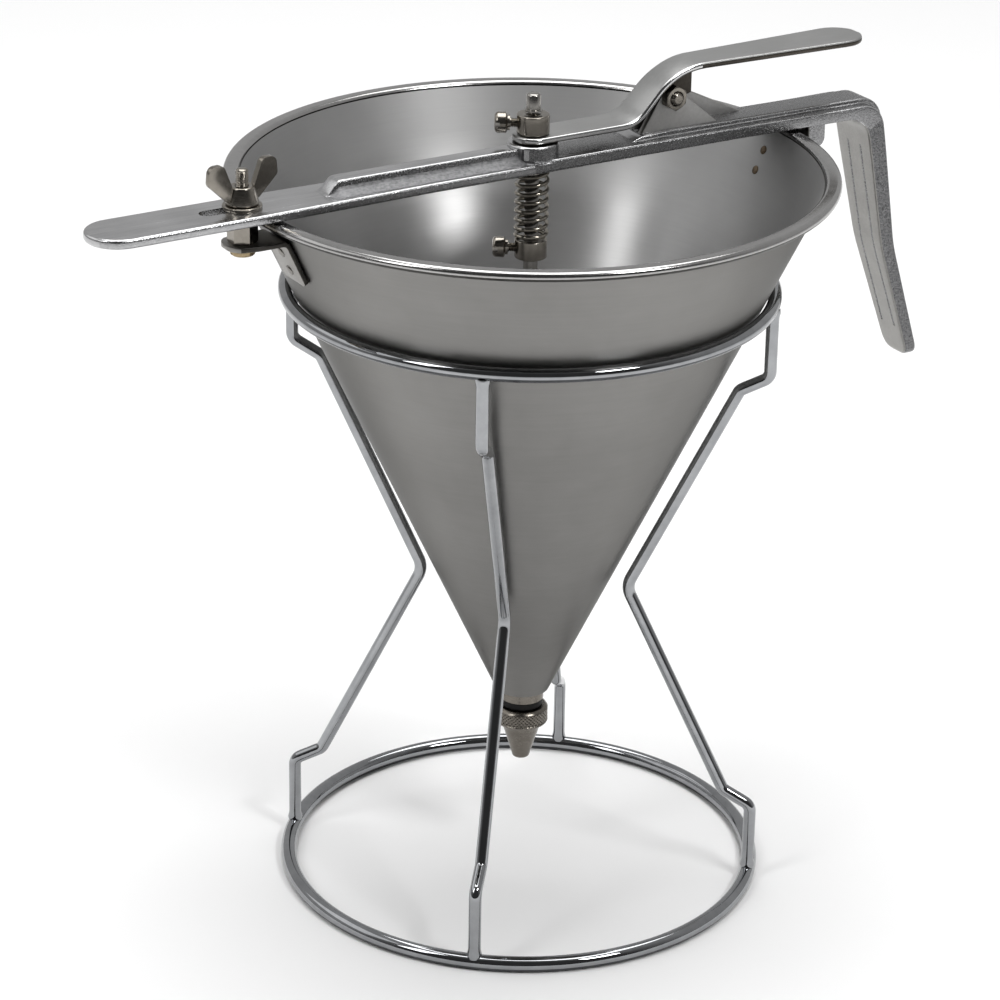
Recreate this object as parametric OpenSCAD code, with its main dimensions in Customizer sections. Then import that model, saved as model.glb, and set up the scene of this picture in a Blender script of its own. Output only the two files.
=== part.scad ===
/* [Funnel] */
// Diameter over the rolled lip
rim_d = 190; // [184:0.5:196]
// Height of the middle of the rolled lip above the table
rim_z = 237.75; // [232:0.25:244]
// Width of the rolled lip along a radius
lip_w = 5.2; // [4.6:0.1:5.8]
// Height of the rolled lip
lip_h = 3; // [2.6:0.1:3.4]
// Angle between the cone's wall and its axis
cone_angle = 25; // [24:0.25:26]
// Thickness of the cone's wall
wall_t = 1; // [0.8:0.1:1.2]
// Outer radius of the cone's open lower end
cone_end_r = 8.75; // [8.5:0.05:9.2]

/* [Spout and nozzle] */
// Step from the cone's inner edge in to the spout's neck
neck_step = 0.6; // [0.3:0.1:0.7]
// Height of the neck below the cone's edge
neck_h = 3.6; // [3:0.1:4.5]
// Reach of the spout's flare up inside the cone
flare_h = 3; // [2:0.1:4]
// Width of the flare's upper edge
flare_edge = 0.8; // [0.5:0.1:1]
// Radius of the thread that carries the nozzle
thread_r = 4.9; // [4.6:0.05:5.2]
// Length of that thread below the neck
thread_l = 8; // [7:0.1:9]
// Chamfer at the ends of that thread and of the plug's pilot
thread_chamfer = 0.5; // [0.3:0.1:0.6]
// Height of the seat's lower edge above the neck's foot
seat_h = 1.2; // [0.8:0.1:1.6]
// Radius of the passage through the spout
passage_r = 3.2; // [2.9:0.05:3.5]
// Thickness of the gasket
gasket_t = 2.6; // [2:0.1:3.2]
// Radius of the gasket
gasket_r = 6.9; // [6.2:0.1:7.4]
// Radius of the nozzle's knurled collar
nozzle_r = 8.6; // [8:0.1:9.4]
// Height of the knurled collar
nozzle_grip_h = 6.4; // [6:0.1:8]
// Bevel at both ends of the knurled collar
nozzle_bevel = 1; // [0.5:0.1:1.2]
// Radius of the nozzle's cone where it leaves the collar
nozzle_cone_r = 6.3; // [6:0.1:6.8]
// Length of the nozzle's cone
nozzle_cone_l = 12.6; // [10:0.1:15]
// Radius of the nozzle's end
nozzle_tip_r = 2.75; // [2.5:0.05:3.2]
// Radius of the outlet
nozzle_bore_r = 2; // [1.5:0.1:2.2]
// Length of the outlet's straight bore
nozzle_bore_l = 4; // [3:0.1:5]

/* [Stand] */
// Height of the middle of the top ring's wire
ring_z = 200.7; // [196:0.1:204]
// Wire of the top ring
top_wire_d = 4.4; // [4.2:0.1:5]
// Wire of the base ring
base_wire_d = 5; // [4.4:0.1:5.6]
// Wire of the legs
leg_wire_d = 4; // [3.4:0.1:4.1]
// Middle radius of the base ring
base_r = 76.4; // [74:0.1:80]
// Flat worn on the underside of the base ring
foot_flat = 0.25; // [0.15:0.05:0.4]
// Straight run of a leg below the top ring
leg_drop = 24; // [20:0.5:28]
// Inward step of a leg near both rings
leg_step = 9.2; // [8.5:0.1:11]
// Height of that step
leg_step_h = 5; // [4.5:0.1:7]
// Height of the outer bend of a leg above the table
foot_h = 26.5; // [24:0.5:30]
// Height of a leg's waist
waist_z = 101; // [95:0.5:107]
// Distance of the waist's wire from the cone
waist_gap = 6.3; // [4.5:0.1:8]
// Bend of a leg at its steps
step_bend_r = 3.6; // [2.8:0.1:4]
// Bend of a leg at its waist
waist_bend_r = 7; // [5:0.5:10]
// Direction of the first leg from the arm
leg_turn = 48.2; // [40:0.1:50]

/* [Straps] */
// Thickness of the strap metal
strap_t = 1.5; // [1.2:0.1:1.7]
// Width of the straps
strap_w = 14; // [12:0.5:15]
// Bend of the straps at their tabs
strap_bend_r = 2.4; // [2:0.1:2.8]
// Length of a strap down the cone, below its tab
strap_drop = 14.6; // [13.5:0.1:18]
// Distance of the clamp's tab below the lip
clamp_tab_drop = 4.8; // [4:0.1:6]
// Length of the clamp's tab past the bolt
clamp_tab_end = 6; // [5:0.1:8]
// Height of the upper rivet below its tab
rivet_drop = 4.2; // [4:0.1:4.8]
// Distance between the two rivets of a strap
rivet_pitch = 6.2; // [5.5:0.1:6.8]
// Shank of a rivet
rivet_d = 2.2; // [1.8:0.1:2.6]
// Head of a rivet
rivet_head_d = 3.4; // [3:0.1:3.8]
// Height of a rivet's head
rivet_head_h = 0.6; // [0.4:0.1:0.9]

/* [Arm] */
// Width of the arm at its tail
arm_w = 20.4; // [19.6:0.1:22]
// Width of the arm's waist
waist_w = 17; // [16.6:0.1:18.6]
// Length of the waist from the rod towards the tail
waist_back = 40; // [30:1:60]
// Length of the waist from the rod towards the grip
waist_front = 75; // [60:1:85]
// Thickness of the arm's flange
arm_t = 3; // [2.8:0.1:3.4]
// Extra thickness of the flange from the rod to the grip
bar_rise = 1; // [0.6:0.1:1.4]
// Gap between the rim and the arm
arm_rim_gap = 0.5; // [0.4:0.05:1]
// Distance of the clamp bolt from the rim
clamp_reach = 5; // [4.8:0.1:8]
// Length of the arm past the clamp bolt
tail_l = 50.3; // [40:0.1:60]
// Rounding of the arm's edges at its tail
edge_r = 1.1; // [0.6:0.1:1.3]
// Width of the adjusting slot
slot_w = 5; // [4.6:0.1:5.6]
// Length of the slot towards the tail
slot_l = 11.5; // [8:0.1:16]
// Length of the slot towards the rim
slot_in = 1; // [0.6:0.1:2]
// Width of the rib on the tail's side
tail_rib_w = 6.4; // [5.5:0.1:8]
// Height of the rib on the tail's side
tail_rib_h = 4.25; // [3.5:0.05:4.6]
// Width of the rib on the grip's side
grip_rib_w = 11; // [10:0.1:12]
// Height of the rib on the grip's side
grip_rib_h = 2.25; // [1.6:0.05:2.6]
// Length of the tail's rib from the rod
rib_l = 74; // [60:0.5:78]
// Ramp at the ribs' ends
rib_ramp = 4.5; // [3:0.5:8]
// Radius of the boss that guides the rod
boss_r = 8; // [7:0.1:8.2]
// Distance of the hook from the rim
hook_gap = 2.8; // [2:0.1:4]
// Length of the hook along the arm
hook_l = 6.5; // [6:0.1:8]
// Width of the hook
hook_w = 17.5; // [16.5:0.5:19.5]
// Depth of the hook below the arm
hook_h = 7.4; // [7.2:0.1:9]
// Wall left behind the strap's tab in the hook
hook_wall = 2.2; // [1.5:0.1:2.8]

/* [Grip] */
// Distance of the grip's outer corner from the rim
grip_reach = 31; // [28:0.5:36]
// Width of the grip at its top
grip_w = 19; // [18:0.5:19.5]
// Thickness of the grip at its top
grip_t = 6; // [5:0.1:7]
// Thickness of the grip at its end
grip_end_t = 4.6; // [4:0.1:5.5]
// Width of the grip at its end
grip_end_w = 13; // [11:0.5:16]
// Length of the grip's upper part
grip_upper_l = 51; // [46:0.5:56]
// Length of the grip's lower part
grip_lower_l = 44.5; // [38:0.5:50]
// Lean of the grip's upper part
grip_upper_lean = 10.5; // [8:0.5:13]
// Lean of the grip's lower part
grip_lower_lean = 18.5; // [15:0.5:22]
// Rounding of the grip's corner
grip_corner_r = 9; // [7:0.5:11]
// Rounding of the bend between the grip's two parts
grip_soft_r = 60; // [40:5:80]
// Rounding of the grip's end, seen from the front
grip_tip_r = 5.5; // [4:0.5:5.5]
// Distance of each groove from the grip's middle
groove_y = 3.4; // [2.6:0.1:3.8]
// Width of the grooves
groove_w = 1.4; // [1:0.1:1.8]
// Depth of the grooves
groove_depth = 0.8; // [0.4:0.1:1.2]
// Distance of the grooves from both ends of the grip
groove_end_l = 12; // [9:0.5:16]

/* [Lever] */
// Distance of the lever's pivot from the rod
pivot_x = 47.8; // [46:0.1:52]
// Height of the pivot above the arm's flange
pivot_h = 13.35; // [12.8:0.05:14]
// Thickness of the lever's strip
lever_t = 2; // [1.6:0.1:2.2]
// Width of the lever at the rod
lever_w = 13; // [12:0.5:14]
// Width of the lever past its bend
lever_neck_w = 12; // [10:0.5:13]
// Width of the thumb plate
thumb_w = 17; // [15:0.5:19]
// Length of the thumb plate
thumb_l = 72.3; // [66:0.1:75]
// Height of the thumb plate above the arm's flange
thumb_h = 22.25; // [21.5:0.05:23.5]
// Slope of the lever's middle part
lever_slope = 46.5; // [44:0.5:48]
// Bend of the lever from its foot to the slope
foot_bend_r = 12; // [9:0.5:13]
// Bend of the lever from the slope to the thumb plate
thumb_bend_r = 24; // [18:0.5:25]
// Play of the rod in the lever's hole
lever_hole_gap = 1; // [0.9:0.1:1.3]
// Thickness of the ear below the lever
ear_t = 2.6; // [2:0.1:3]
// Radius of the ear at the pivot
ear_r = 3.4; // [3:0.1:3.6]
// Reach of the lever's ear in front of the pivot
ear_front = 9.4; // [8:0.2:10]
// Drop of the ear's front corner below the pivot
ear_drop = 0.8; // [0.4:0.1:1.4]
// Radius of the two cheeks at the pivot
cheek_r = 3.4; // [3:0.1:3.6]
// Thickness of a cheek
cheek_t = 2.4; // [2:0.1:2.8]
// Angle above the pivot where a cheek's flanks leave its round top
cheek_side_angle = 20; // [10:1:30]
// Reach of the cheeks along the arm, towards the rod
cheek_back = 10.8; // [9:0.1:12]
// Reach of the cheek at the nut's side, towards the grip
cheek_front = 18.2; // [14:0.1:20]
// Reach of the other cheek, towards the grip
cheek_tail = 31.2; // [26:0.1:36]
// Angle above the pivot where that long flank leaves the round top
cheek_tail_angle = 66; // [60:1:70]

/* [Plunger] */
// Diameter of the rod
rod_d = 4.5; // [4:0.1:5]
// Length of the rod above the upper collar
rod_top_l = 6.5; // [5:0.1:9]
// Chamfer at the rod's top
rod_chamfer = 0.6; // [0.3:0.1:1]
// Diameter of the two collars
collar_d = 10.2; // [9.4:0.1:11]
// Height of a collar
collar_h = 6; // [5.4:0.1:7]
// Height of the upper collar above the arm's flange
collar_lift = 7.85; // [7.6:0.05:8.4]
// Largest radius of the plug that closes the spout
plug_r = 5.5; // [4.8:0.1:6]
// Height of the plug's straight part
plug_h = 4; // [3:0.1:5]
// Length of the plug's pilot in the passage
pilot_l = 2.4; // [1.5:0.1:3]
// Depth of the rod's socket in the plug
socket_h = 4.5; // [3.5:0.1:5]
// Chamfer at the plug's top
plug_chamfer = 0.8; // [0.4:0.1:1.2]

/* [Spring] */
// Length of the spring between the arm and the lower collar
spring_l = 23.45; // [21:0.05:27]
// Outer diameter of the spring
spring_d = 11; // [10:0.1:12]
// Wire of the spring
spring_wire = 1.3; // [1:0.1:1.5]
// Turns of the spring
spring_turns = 8; // [6:1:9]

/* [Fasteners] */
// Diameter of the bolts
bolt_d = 4; // [3.6:0.1:4.2]
// Head of the clamp bolt
bolt_head_d = 7.7; // [7:0.1:8.5]
// Height of a bolt's head
bolt_head_h = 2.6; // [2:0.1:3]
// Length of the clamp bolt above the wing nut's body
bolt_end_l = 5.2; // [3:0.1:8]
// Chamfer at both ends of the clamp bolt
bolt_chamfer = 0.6; // [0.4:0.1:0.8]
// Width across flats of the spacer nut under the arm
spacer_af = 8; // [7:0.1:8.8]
// Diameter of the washer
washer_d = 12; // [10:0.1:13]
// Thickness of the washer
washer_t = 1.2; // [0.8:0.1:1.4]
// Width across flats of the pivot's nut and bolt head
nut_af = 7; // [6.4:0.1:7.6]
// Thickness of the pivot's nut
nut_t = 3.2; // [2.6:0.1:3.6]
// End of the pivot bolt past its nut
pivot_end_l = 1; // [0.5:0.1:2]
// Span of the wing nut
wing_span = 24; // [20:0.5:26]
// Height of the wing nut
wing_h = 13; // [12:0.1:14]
// Thickness of a wing
wing_t = 2.2; // [1.8:0.1:2.6]
// Height of a wing's outermost corner
wing_corner_h = 8.2; // [7.2:0.1:9]
// Lean of a wing's outer edge above that corner
wing_lean = 1.1; // [0.6:0.1:1.3]
// Width of a wing at its top, from the outermost corner
wing_tip_w = 4.4; // [4.2:0.1:5.2]
// Rounding of a wing's corners
wing_round_r = 2.1; // [1.4:0.1:2.1]
// Distance of the wings from the ends of the wing nut's body
wing_inset = 1.1; // [0.6:0.1:1.4]
// Radius of the wing nut's base
wing_base_r = 5.2; // [4.6:0.1:5.6]
// Radius of the wing nut's top
wing_top_r = 3.5; // [3.2:0.1:4]
// Height of the wing nut's body
wing_body_h = 5.6; // [5:0.1:6.5]
// Turn of the wing nut from the arm
wing_turn = 5; // [0:1:40]
// Thread of the thumb screws
screw_d = 3; // [2.6:0.1:3.4]
// Head of the thumb screws
screw_head_d = 6.6; // [6:0.1:7]
// Length of a thumb screw's head
screw_head_l = 4.8; // [4:0.1:5.2]
// Neck of a thumb screw between the collar and its head
screw_neck_l = 2; // [1.9:0.1:2.6]
// Width of the slot in a thumb screw
screw_slot_w = 1; // [0.7:0.1:1.3]
// Depth of the slot in a thumb screw
screw_slot_depth = 1.3; // [0.8:0.1:1.6]
// Direction of the thumb screws from the arm
screw_turn = 148; // [140:1:160]

/* [Clearances] */
// Play of a running fit, on the radius
run_gap = 0.05; // [0.03:0.01:0.08]
// Gap between pieces that rest on each other and part in use
seat_gap = 0.3; // [0.25:0.05:0.4]
// Play of a nut that turns on its seat
turn_gap = 0.1; // [0.08:0.01:0.15]
// Play between pieces that are joined for good
join_gap = 0.02; // [0.01:0.01:0.04]
// Play of the strap's tab in the hook
hook_play = 0.15; // [0.1:0.05:0.2]

/* [Hidden] */
$fn = 64;

steel = "#b9b7b2";
bright_wire = "#cfd1d4";
cast_metal = "#a6a8aa";
nickel = "#8f887c";
black_rubber = "#1c1c1c";

arc_steps = 8;
bend_lap = 0.4;
bend_swell = 0.05;
hex_sides = 6;
legs_n = 4;
cut = 1;

// The cone's outer line touches the lip's roll from inside
rim_r = rim_d / 2;
wall_w = wall_t / cos(cone_angle);
lip_in_r = rim_r - lip_w + lip_h / 2;
lip_out_r = rim_r - lip_h / 2;
cone_top_r = lip_in_r - (lip_h / 2 - wall_t) / cos(cone_angle);
apex_z = rim_z - cone_top_r / tan(cone_angle);
cone_end_z = apex_z + cone_end_r / tan(cone_angle);
lip_under_z = rim_z - lip_h / 2;
lip_top_z = rim_z + lip_h / 2;
function cone_r(z) = (z - apex_z) * tan(cone_angle);
function cone_in_r(z) = cone_r(z) - wall_w;

// The spout hangs from the cone's end, and the nozzle from the spout
neck_r = cone_end_r - wall_w - neck_step;
neck_z = cone_end_z - neck_h;
thread_z = neck_z - thread_l;
flare_z = cone_end_z + flare_h;
seat_r = cone_in_r(flare_z) - join_gap - flare_edge;
seat_z = neck_z + seat_h;
seat_slope = (seat_r - passage_r) / (flare_z - seat_z);
nozzle_top_z = neck_z - gasket_t - join_gap - turn_gap;
nozzle_grip_z = nozzle_top_z - nozzle_grip_h;
nozzle_end_z = nozzle_grip_z - nozzle_cone_l;
nozzle_floor_z = thread_z - seat_gap;

// The cone sits in the top ring
top_ring_r = cone_r(ring_z) + (top_wire_d / 2 + seat_gap) / cos(cone_angle);
base_ring_z = base_wire_d / 2 - foot_flat;
waist_r = cone_r(waist_z) + waist_gap;
leg_path = [
    [top_ring_r, ring_z],
    [top_ring_r, ring_z - leg_drop],
    [top_ring_r - leg_step, ring_z - leg_drop - leg_step_h],
    [waist_r, waist_z],
    [base_r - leg_step, foot_h + leg_step_h],
    [base_r, foot_h],
    [base_r, base_ring_z]
];
leg_bends = [0, step_bend_r, step_bend_r, waist_bend_r, step_bend_r, step_bend_r, 0];

// The arm lies just above the rim
arm_z = lip_top_z + arm_rim_gap;
arm_top_z = arm_z + arm_t;
bar_z = arm_top_z + bar_rise;
tail_rib_z = arm_top_z + tail_rib_h;
grip_rib_z = bar_z + grip_rib_h;
clamp_x = -rim_r - clamp_reach;
tail_x = clamp_x - tail_l;
hook_x = rim_r + hook_gap;
corner_x = rim_r + grip_reach;
grip_outer = [
    [corner_x, bar_z],
    [corner_x, bar_z] + grip_upper_l * [sin(grip_upper_lean), -cos(grip_upper_lean)],
    [corner_x, bar_z] + grip_upper_l * [sin(grip_upper_lean), -cos(grip_upper_lean)]
        + grip_lower_l * [sin(grip_lower_lean), -cos(grip_lower_lean)]
];
grip_inner = [
    [corner_x - grip_t, arm_z],
    grip_outer[1] - [(grip_t + grip_end_t) / 2, 0],
    grip_outer[2] - [grip_end_t, 0]
];
grip_end_r = (grip_end_t - edge_r) / 2;
grip_tip_z = grip_outer[2][1] - bend_lap;
grip_split_x = grip_inner[0][0] - grip_corner_r;
grip_full_w_z = arm_z - grip_corner_r;

// The straps run down the outside of the cone
clamp_tab_z = lip_under_z - clamp_tab_drop;
hook_tab_z = lip_under_z - seat_gap - strap_t / 2;
hook_tab_x = hook_x + hook_l - hook_wall;
function strap_x(z) = cone_r(z) + (join_gap + strap_t / 2) / cos(cone_angle);

// The lever clears its cheeks, nut and bolt head as it turns
function hex_r(af) = af / 2 / cos(180 / hex_sides);
pivot_z = arm_top_z + pivot_h;
collar_z = arm_top_z + collar_lift;
lever_z = collar_z - seat_gap - lever_t / 2;
boss_z = lever_z - lever_t / 2 - seat_gap;
thumb_z = arm_top_z + thumb_h;
lever_rise = max(cheek_r, hex_r(nut_af)) + seat_gap + lever_t / 2;
slope_along = [cos(lever_slope), sin(lever_slope)];
slope_up = [-sin(lever_slope), cos(lever_slope)];
function lever_x(z) =
    pivot_x + (cos(lever_slope) * (z - pivot_z) - lever_rise) / sin(lever_slope);
foot_x = lever_x(lever_z);
bend_x = lever_x(thumb_z);
tip_x = bend_x + thumb_l;
lug_w = ear_t + 2 * seat_gap + 2 * cheek_t;

// The plunger hangs in the arm's boss and closes the spout
rod_r = rod_d / 2;
rod_top_z = collar_z + collar_h + rod_top_l;
lower_collar_top_z = arm_z - spring_l;
lower_collar_z = lower_collar_top_z - collar_h;
pilot_r = passage_r - seat_gap;
plug_lift = seat_gap / sin(atan(seat_slope));
pilot_z = seat_z + plug_lift - (passage_r - pilot_r) / seat_slope;
plug_z = seat_z + plug_lift + (plug_r - passage_r) / seat_slope;
plug_top_z = plug_z + plug_h;

// The clamp's fasteners share the bolt's axis
clamp_tab_top_z = clamp_tab_z + strap_t / 2;
clamp_tab_under_z = clamp_tab_z - strap_t / 2;
washer_top_z = arm_top_z + washer_t;
wing_z = washer_top_z + turn_gap;
bolt_top_z = wing_z + wing_body_h + bolt_end_l;
bolt_r = bolt_d / 2;
wing_root_r = (bolt_r + wing_top_r) / 2;

// Points of the spring's middle line, with a straight end at each seat
spring_r = (spring_d - spring_wire) / 2;
spring_rings = 8;
spring_sides = 6;
spring_low_z = lower_collar_top_z + turn_gap;
spring_high_z = arm_z - join_gap;
spring_n = spring_turns * spring_rings;
spring_rise = spring_high_z - spring_low_z - 2 * spring_wire;
function coil_point(k) = [
    spring_r * cos(360 * k / spring_rings),
    spring_r * sin(360 * k / spring_rings),
    spring_low_z + spring_wire + spring_rise * k / spring_n
];
spring_path = concat(
    [[spring_r, 0, spring_low_z]],
    [for (k = [0 : spring_n]) coil_point(k)],
    [[spring_r, 0, spring_high_z]]
);
spring_gap = min([
    for (i = [0 : len(spring_path) - 1], j = [i + spring_rings / 2 : 1 : len(spring_path) - 1])
        norm(spring_path[i] - spring_path[j])
]) - spring_wire;
echo("Least gap between the spring's turns, in mm", spring_gap);

function unit(v) = v / norm(v);
function cross2(a, b) = a[0] * b[1] - a[1] * b[0];
function turn(path, i) =
    let (a = path[i] - path[i - 1], b = path[i + 1] - path[i]) atan2(cross2(a, b), a * b);
function setback(path, bends, i) =
    i == 0 || i == len(path) - 1 ? 0 : bends[i] * tan(abs(turn(path, i)) / 2);

function bend_centre(path, bends, i) =
    let (d = unit(path[i] - path[i - 1]))
    path[i] - d * setback(path, bends, i) + sign(turn(path, i)) * bends[i] * [-d[1], d[0]];
function bend_first(path, i) =
    let (d = path[i] - path[i - 1]) atan2(d[1], d[0]) - sign(turn(path, i)) * 90;

// Round wire along a bent line in the XZ plane, a little fuller in its bends
module bent_wire(path, bends, d) {
    for (i = [0 : len(path) - 2]) {
        way = unit(path[i + 1] - path[i]);
        lap_a = i == 0 ? 0 : bend_lap;
        lap_b = i == len(path) - 2 ? 0 : bend_lap;
        a = path[i] + way * (setback(path, bends, i) - lap_a);
        b = path[i + 1] - way * (setback(path, bends, i + 1) - lap_b);
        translate([a[0], 0, a[1]])
            rotate([0, atan2(way[0], way[1]), 0]) cylinder(d = d, h = norm(b - a));
    }
    for (i = [1 : len(path) - 2]) {
        c = bend_centre(path, bends, i);
        sweep = turn(path, i);
        translate([c[0], 0, c[1]])
            rotate([90, 0, 0]) rotate(bend_first(path, i) + min(0, sweep))
                rotate_extrude(angle = abs(sweep))
                    translate([bends[i], 0]) circle(d = d + 2 * bend_swell);
    }
}

// One edge of a strip of thickness t along a bent line, to its left for side 1
function strip_edge(path, bends, t, side) =
    let (n = len(path) - 1, a = unit(path[1] - path[0]), b = unit(path[n] - path[n - 1]))
    concat(
        [path[0] + side * t / 2 * [-a[1], a[0]]],
        [for (i = [1 : n - 1])
            let (r = bends[i] - side * sign(turn(path, i)) * t / 2)
            for (k = [0 : arc_steps])
                let (w = bend_first(path, i) + turn(path, i) * k / arc_steps)
                bend_centre(path, bends, i) + r * [cos(w), sin(w)]],
        [path[n] + side * t / 2 * [-b[1], b[0]]]
    );
function backwards(p) = [for (i = [len(p) - 1 : -1 : 0]) p[i]];
module strip_side(path, bends, t)
    polygon(concat(strip_edge(path, bends, t, 1), backwards(strip_edge(path, bends, t, -1))));

// Corner b of an outline, rounded by its third value
function corner(a, b, c) =
    let (p = [b[0], b[1]], r = b[2])
    r == 0 ? [p] :
    let (
        u = unit([a[0], a[1]] - p),
        v = unit([c[0], c[1]] - p),
        half = acos(u * v) / 2,
        m = p + unit(u + v) * r / sin(half),
        s = p + u * r / tan(half) - m,
        e = p + v * r / tan(half) - m,
        first = atan2(s[1], s[0]),
        sweep = atan2(cross2(s, e), s * e)
    )
    [for (k = [0 : arc_steps])
        m + r * [cos(first + sweep * k / arc_steps), sin(first + sweep * k / arc_steps)]];
function rounded(p) =
    let (n = len(p))
    [for (i = [0 : n - 1]) each corner(p[(i + n - 1) % n], p[i], p[(i + 1) % n])];

// Outline drawn in XZ, w wide in Y
module slab(w) rotate([90, 0, 0]) linear_extrude(w, center = true) children();

module wire_ring(r, z, d) translate([0, 0, z]) rotate_extrude() translate([r, 0]) circle(d = d);

module base_ring() color(bright_wire)
    difference() {
        wire_ring(base_r, base_ring_z, base_wire_d);
        translate([0, 0, -base_wire_d]) cylinder(r = base_r + base_wire_d, h = base_wire_d);
    }

module top_ring() color(bright_wire) wire_ring(top_ring_r, ring_z, top_wire_d);

module leg(i) color(bright_wire)
    rotate(leg_turn + 360 * i / legs_n)
        difference() {
            bent_wire(leg_path, leg_bends, leg_wire_d);
            wire_ring(top_ring_r, ring_z, top_wire_d + 2 * join_gap);
            wire_ring(base_r, base_ring_z, base_wire_d + 2 * join_gap);
        }

// Frame on the cone's outside, with +Z square out of the wall
module on_cone(side, z)
    translate([side * cone_r(z), 0, z]) rotate([0, side * (90 + cone_angle), 0]) children();

module rivet_places(tab_z)
    for (k = [0, 1]) {
        $rivet_z = tab_z - rivet_drop - k * rivet_pitch;
        children();
    }

module rivet_holes(side, tab_z)
    rivet_places(tab_z) on_cone(side, $rivet_z)
        translate([0, 0, -wall_t - cut])
            cylinder(d = rivet_d + 2 * join_gap, h = wall_t + strap_t + 2 * cut);

module rivets(side, tab_z) color(nickel)
    rivet_places(tab_z) on_cone(side, $rivet_z) {
        inner_z = -wall_t - 2 * join_gap;
        outer_z = strap_t + 2 * join_gap;
        translate([0, 0, inner_z]) cylinder(d = rivet_d, h = outer_z - inner_z);
        translate([0, 0, inner_z - rivet_head_h]) cylinder(d = rivet_head_d, h = rivet_head_h);
        translate([0, 0, outer_z]) cylinder(d1 = rivet_head_d, d2 = rivet_d, h = rivet_head_h);
    }

module funnel_cone() color(steel)
    difference() {
        rotate_extrude() {
            n = [-cos(cone_angle), sin(cone_angle)];
            m = [lip_in_r, rim_z];
            polygon([
                [cone_end_r - wall_w, cone_end_z],
                [cone_end_r, cone_end_z],
                m + (lip_h / 2 - wall_t) * n,
                m + (lip_h / 2 - join_gap) * n,
            ]);
            translate([lip_in_r, rim_z]) circle(d = lip_h);
            translate([lip_out_r, rim_z]) circle(d = lip_h);
            translate([lip_in_r, lip_under_z]) square([lip_out_r - lip_in_r, lip_h]);
        }
        rivet_holes(-1, clamp_tab_z);
        rivet_holes(1, hook_tab_z);
    }

module outlet_spout() color(nickel)
    rotate_extrude()
        polygon([
            [passage_r, thread_z],
            [thread_r - thread_chamfer, thread_z],
            [thread_r, thread_z + thread_chamfer],
            [thread_r, neck_z],
            [neck_r, neck_z],
            [neck_r, cone_end_z],
            [cone_in_r(cone_end_z) - join_gap, cone_end_z],
            [cone_in_r(flare_z) - join_gap, flare_z],
            [seat_r, flare_z],
            [passage_r, seat_z]
        ]);

module outlet_gasket() color(black_rubber)
    translate([0, 0, neck_z - join_gap - gasket_t])
        difference() {
            cylinder(r = gasket_r, h = gasket_t);
            translate([0, 0, -cut]) cylinder(r = thread_r + join_gap, h = gasket_t + 2 * cut);
        }

module nozzle() color(nickel)
    rotate_extrude()
        polygon([
            [thread_r + run_gap, nozzle_top_z],
            [nozzle_r - nozzle_bevel, nozzle_top_z],
            [nozzle_r, nozzle_top_z - nozzle_bevel],
            [nozzle_r, nozzle_grip_z + nozzle_bevel],
            [nozzle_r - nozzle_bevel, nozzle_grip_z],
            [nozzle_cone_r, nozzle_grip_z],
            [nozzle_tip_r, nozzle_end_z],
            [nozzle_bore_r, nozzle_end_z],
            [nozzle_bore_r, nozzle_end_z + nozzle_bore_l],
            [passage_r, nozzle_floor_z - thread_chamfer],
            [thread_r + run_gap, nozzle_floor_z]
        ]);

// Strap down the cone with a level tab, drawn for the hook's side
module strap(tab_z, tab_end_x)
    slab(strap_w)
        strip_side([
            [strap_x(tab_z - strap_drop), tab_z - strap_drop],
            [strap_x(tab_z), tab_z],
            [tab_end_x, tab_z]
        ], [0, strap_bend_r, 0], strap_t);

module clamp_strap() color(steel)
    difference() {
        mirror([1, 0, 0]) strap(clamp_tab_z, -clamp_x + clamp_tab_end);
        rivet_holes(-1, clamp_tab_z);
        translate([clamp_x, 0, clamp_tab_z - strap_t])
            cylinder(r = bolt_r + run_gap, h = 2 * strap_t);
    }

module hook_strap() color(steel)
    difference() {
        strap(hook_tab_z, hook_tab_x - hook_play);
        rivet_holes(1, hook_tab_z);
    }

module clamp_strap_rivets() rivets(-1, clamp_tab_z);

module hook_strap_rivets() rivets(1, hook_tab_z);

// Flange and grip seen from the side
module arm_side()
    polygon(rounded([
        [tail_x, arm_z, edge_r],
        [tail_x, arm_top_z, edge_r],
        [-boss_r, arm_top_z, 0],
        [0, bar_z, 0],
        [grip_outer[0][0], grip_outer[0][1], grip_corner_r],
        [grip_outer[1][0], grip_outer[1][1], grip_soft_r],
        [grip_outer[2][0], grip_outer[2][1], grip_end_r],
        [grip_inner[2][0], grip_inner[2][1], grip_end_r],
        [grip_inner[1][0], grip_inner[1][1], grip_soft_r],
        [grip_inner[0][0], grip_inner[0][1], grip_corner_r]
    ]));

// Room that the flange takes, seen from above, with a round tail and a waist
module arm_plan()
    translate([0, 0, arm_z - cut]) linear_extrude(bar_z - arm_z + 2 * cut) {
        translate([tail_x + arm_w / 2, 0]) circle(d = arm_w);
        polygon([
            [tail_x + arm_w / 2, -arm_w / 2],
            [clamp_x, -arm_w / 2],
            [-waist_back, -waist_w / 2],
            [waist_front, -waist_w / 2],
            [grip_split_x, -grip_w / 2],
            [grip_split_x, grip_w / 2],
            [waist_front, waist_w / 2],
            [-waist_back, waist_w / 2],
            [clamp_x, arm_w / 2],
            [tail_x + arm_w / 2, arm_w / 2]
        ]);
    }

// Room that the grip takes, seen from its front, drawn in to its end
module grip_front()
    translate([grip_split_x, 0, 0]) rotate([90, 0, 90])
        linear_extrude(grip_outer[2][0] - grip_split_x + cut)
            polygon(rounded([
                [-grip_w / 2, bar_z + cut, 0],
                [-grip_w / 2, grip_full_w_z, 0],
                [-grip_end_w / 2, grip_tip_z, grip_tip_r],
                [grip_end_w / 2, grip_tip_z, grip_tip_r],
                [grip_w / 2, grip_full_w_z, 0],
                [grip_w / 2, bar_z + cut, 0]
            ]));

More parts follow.
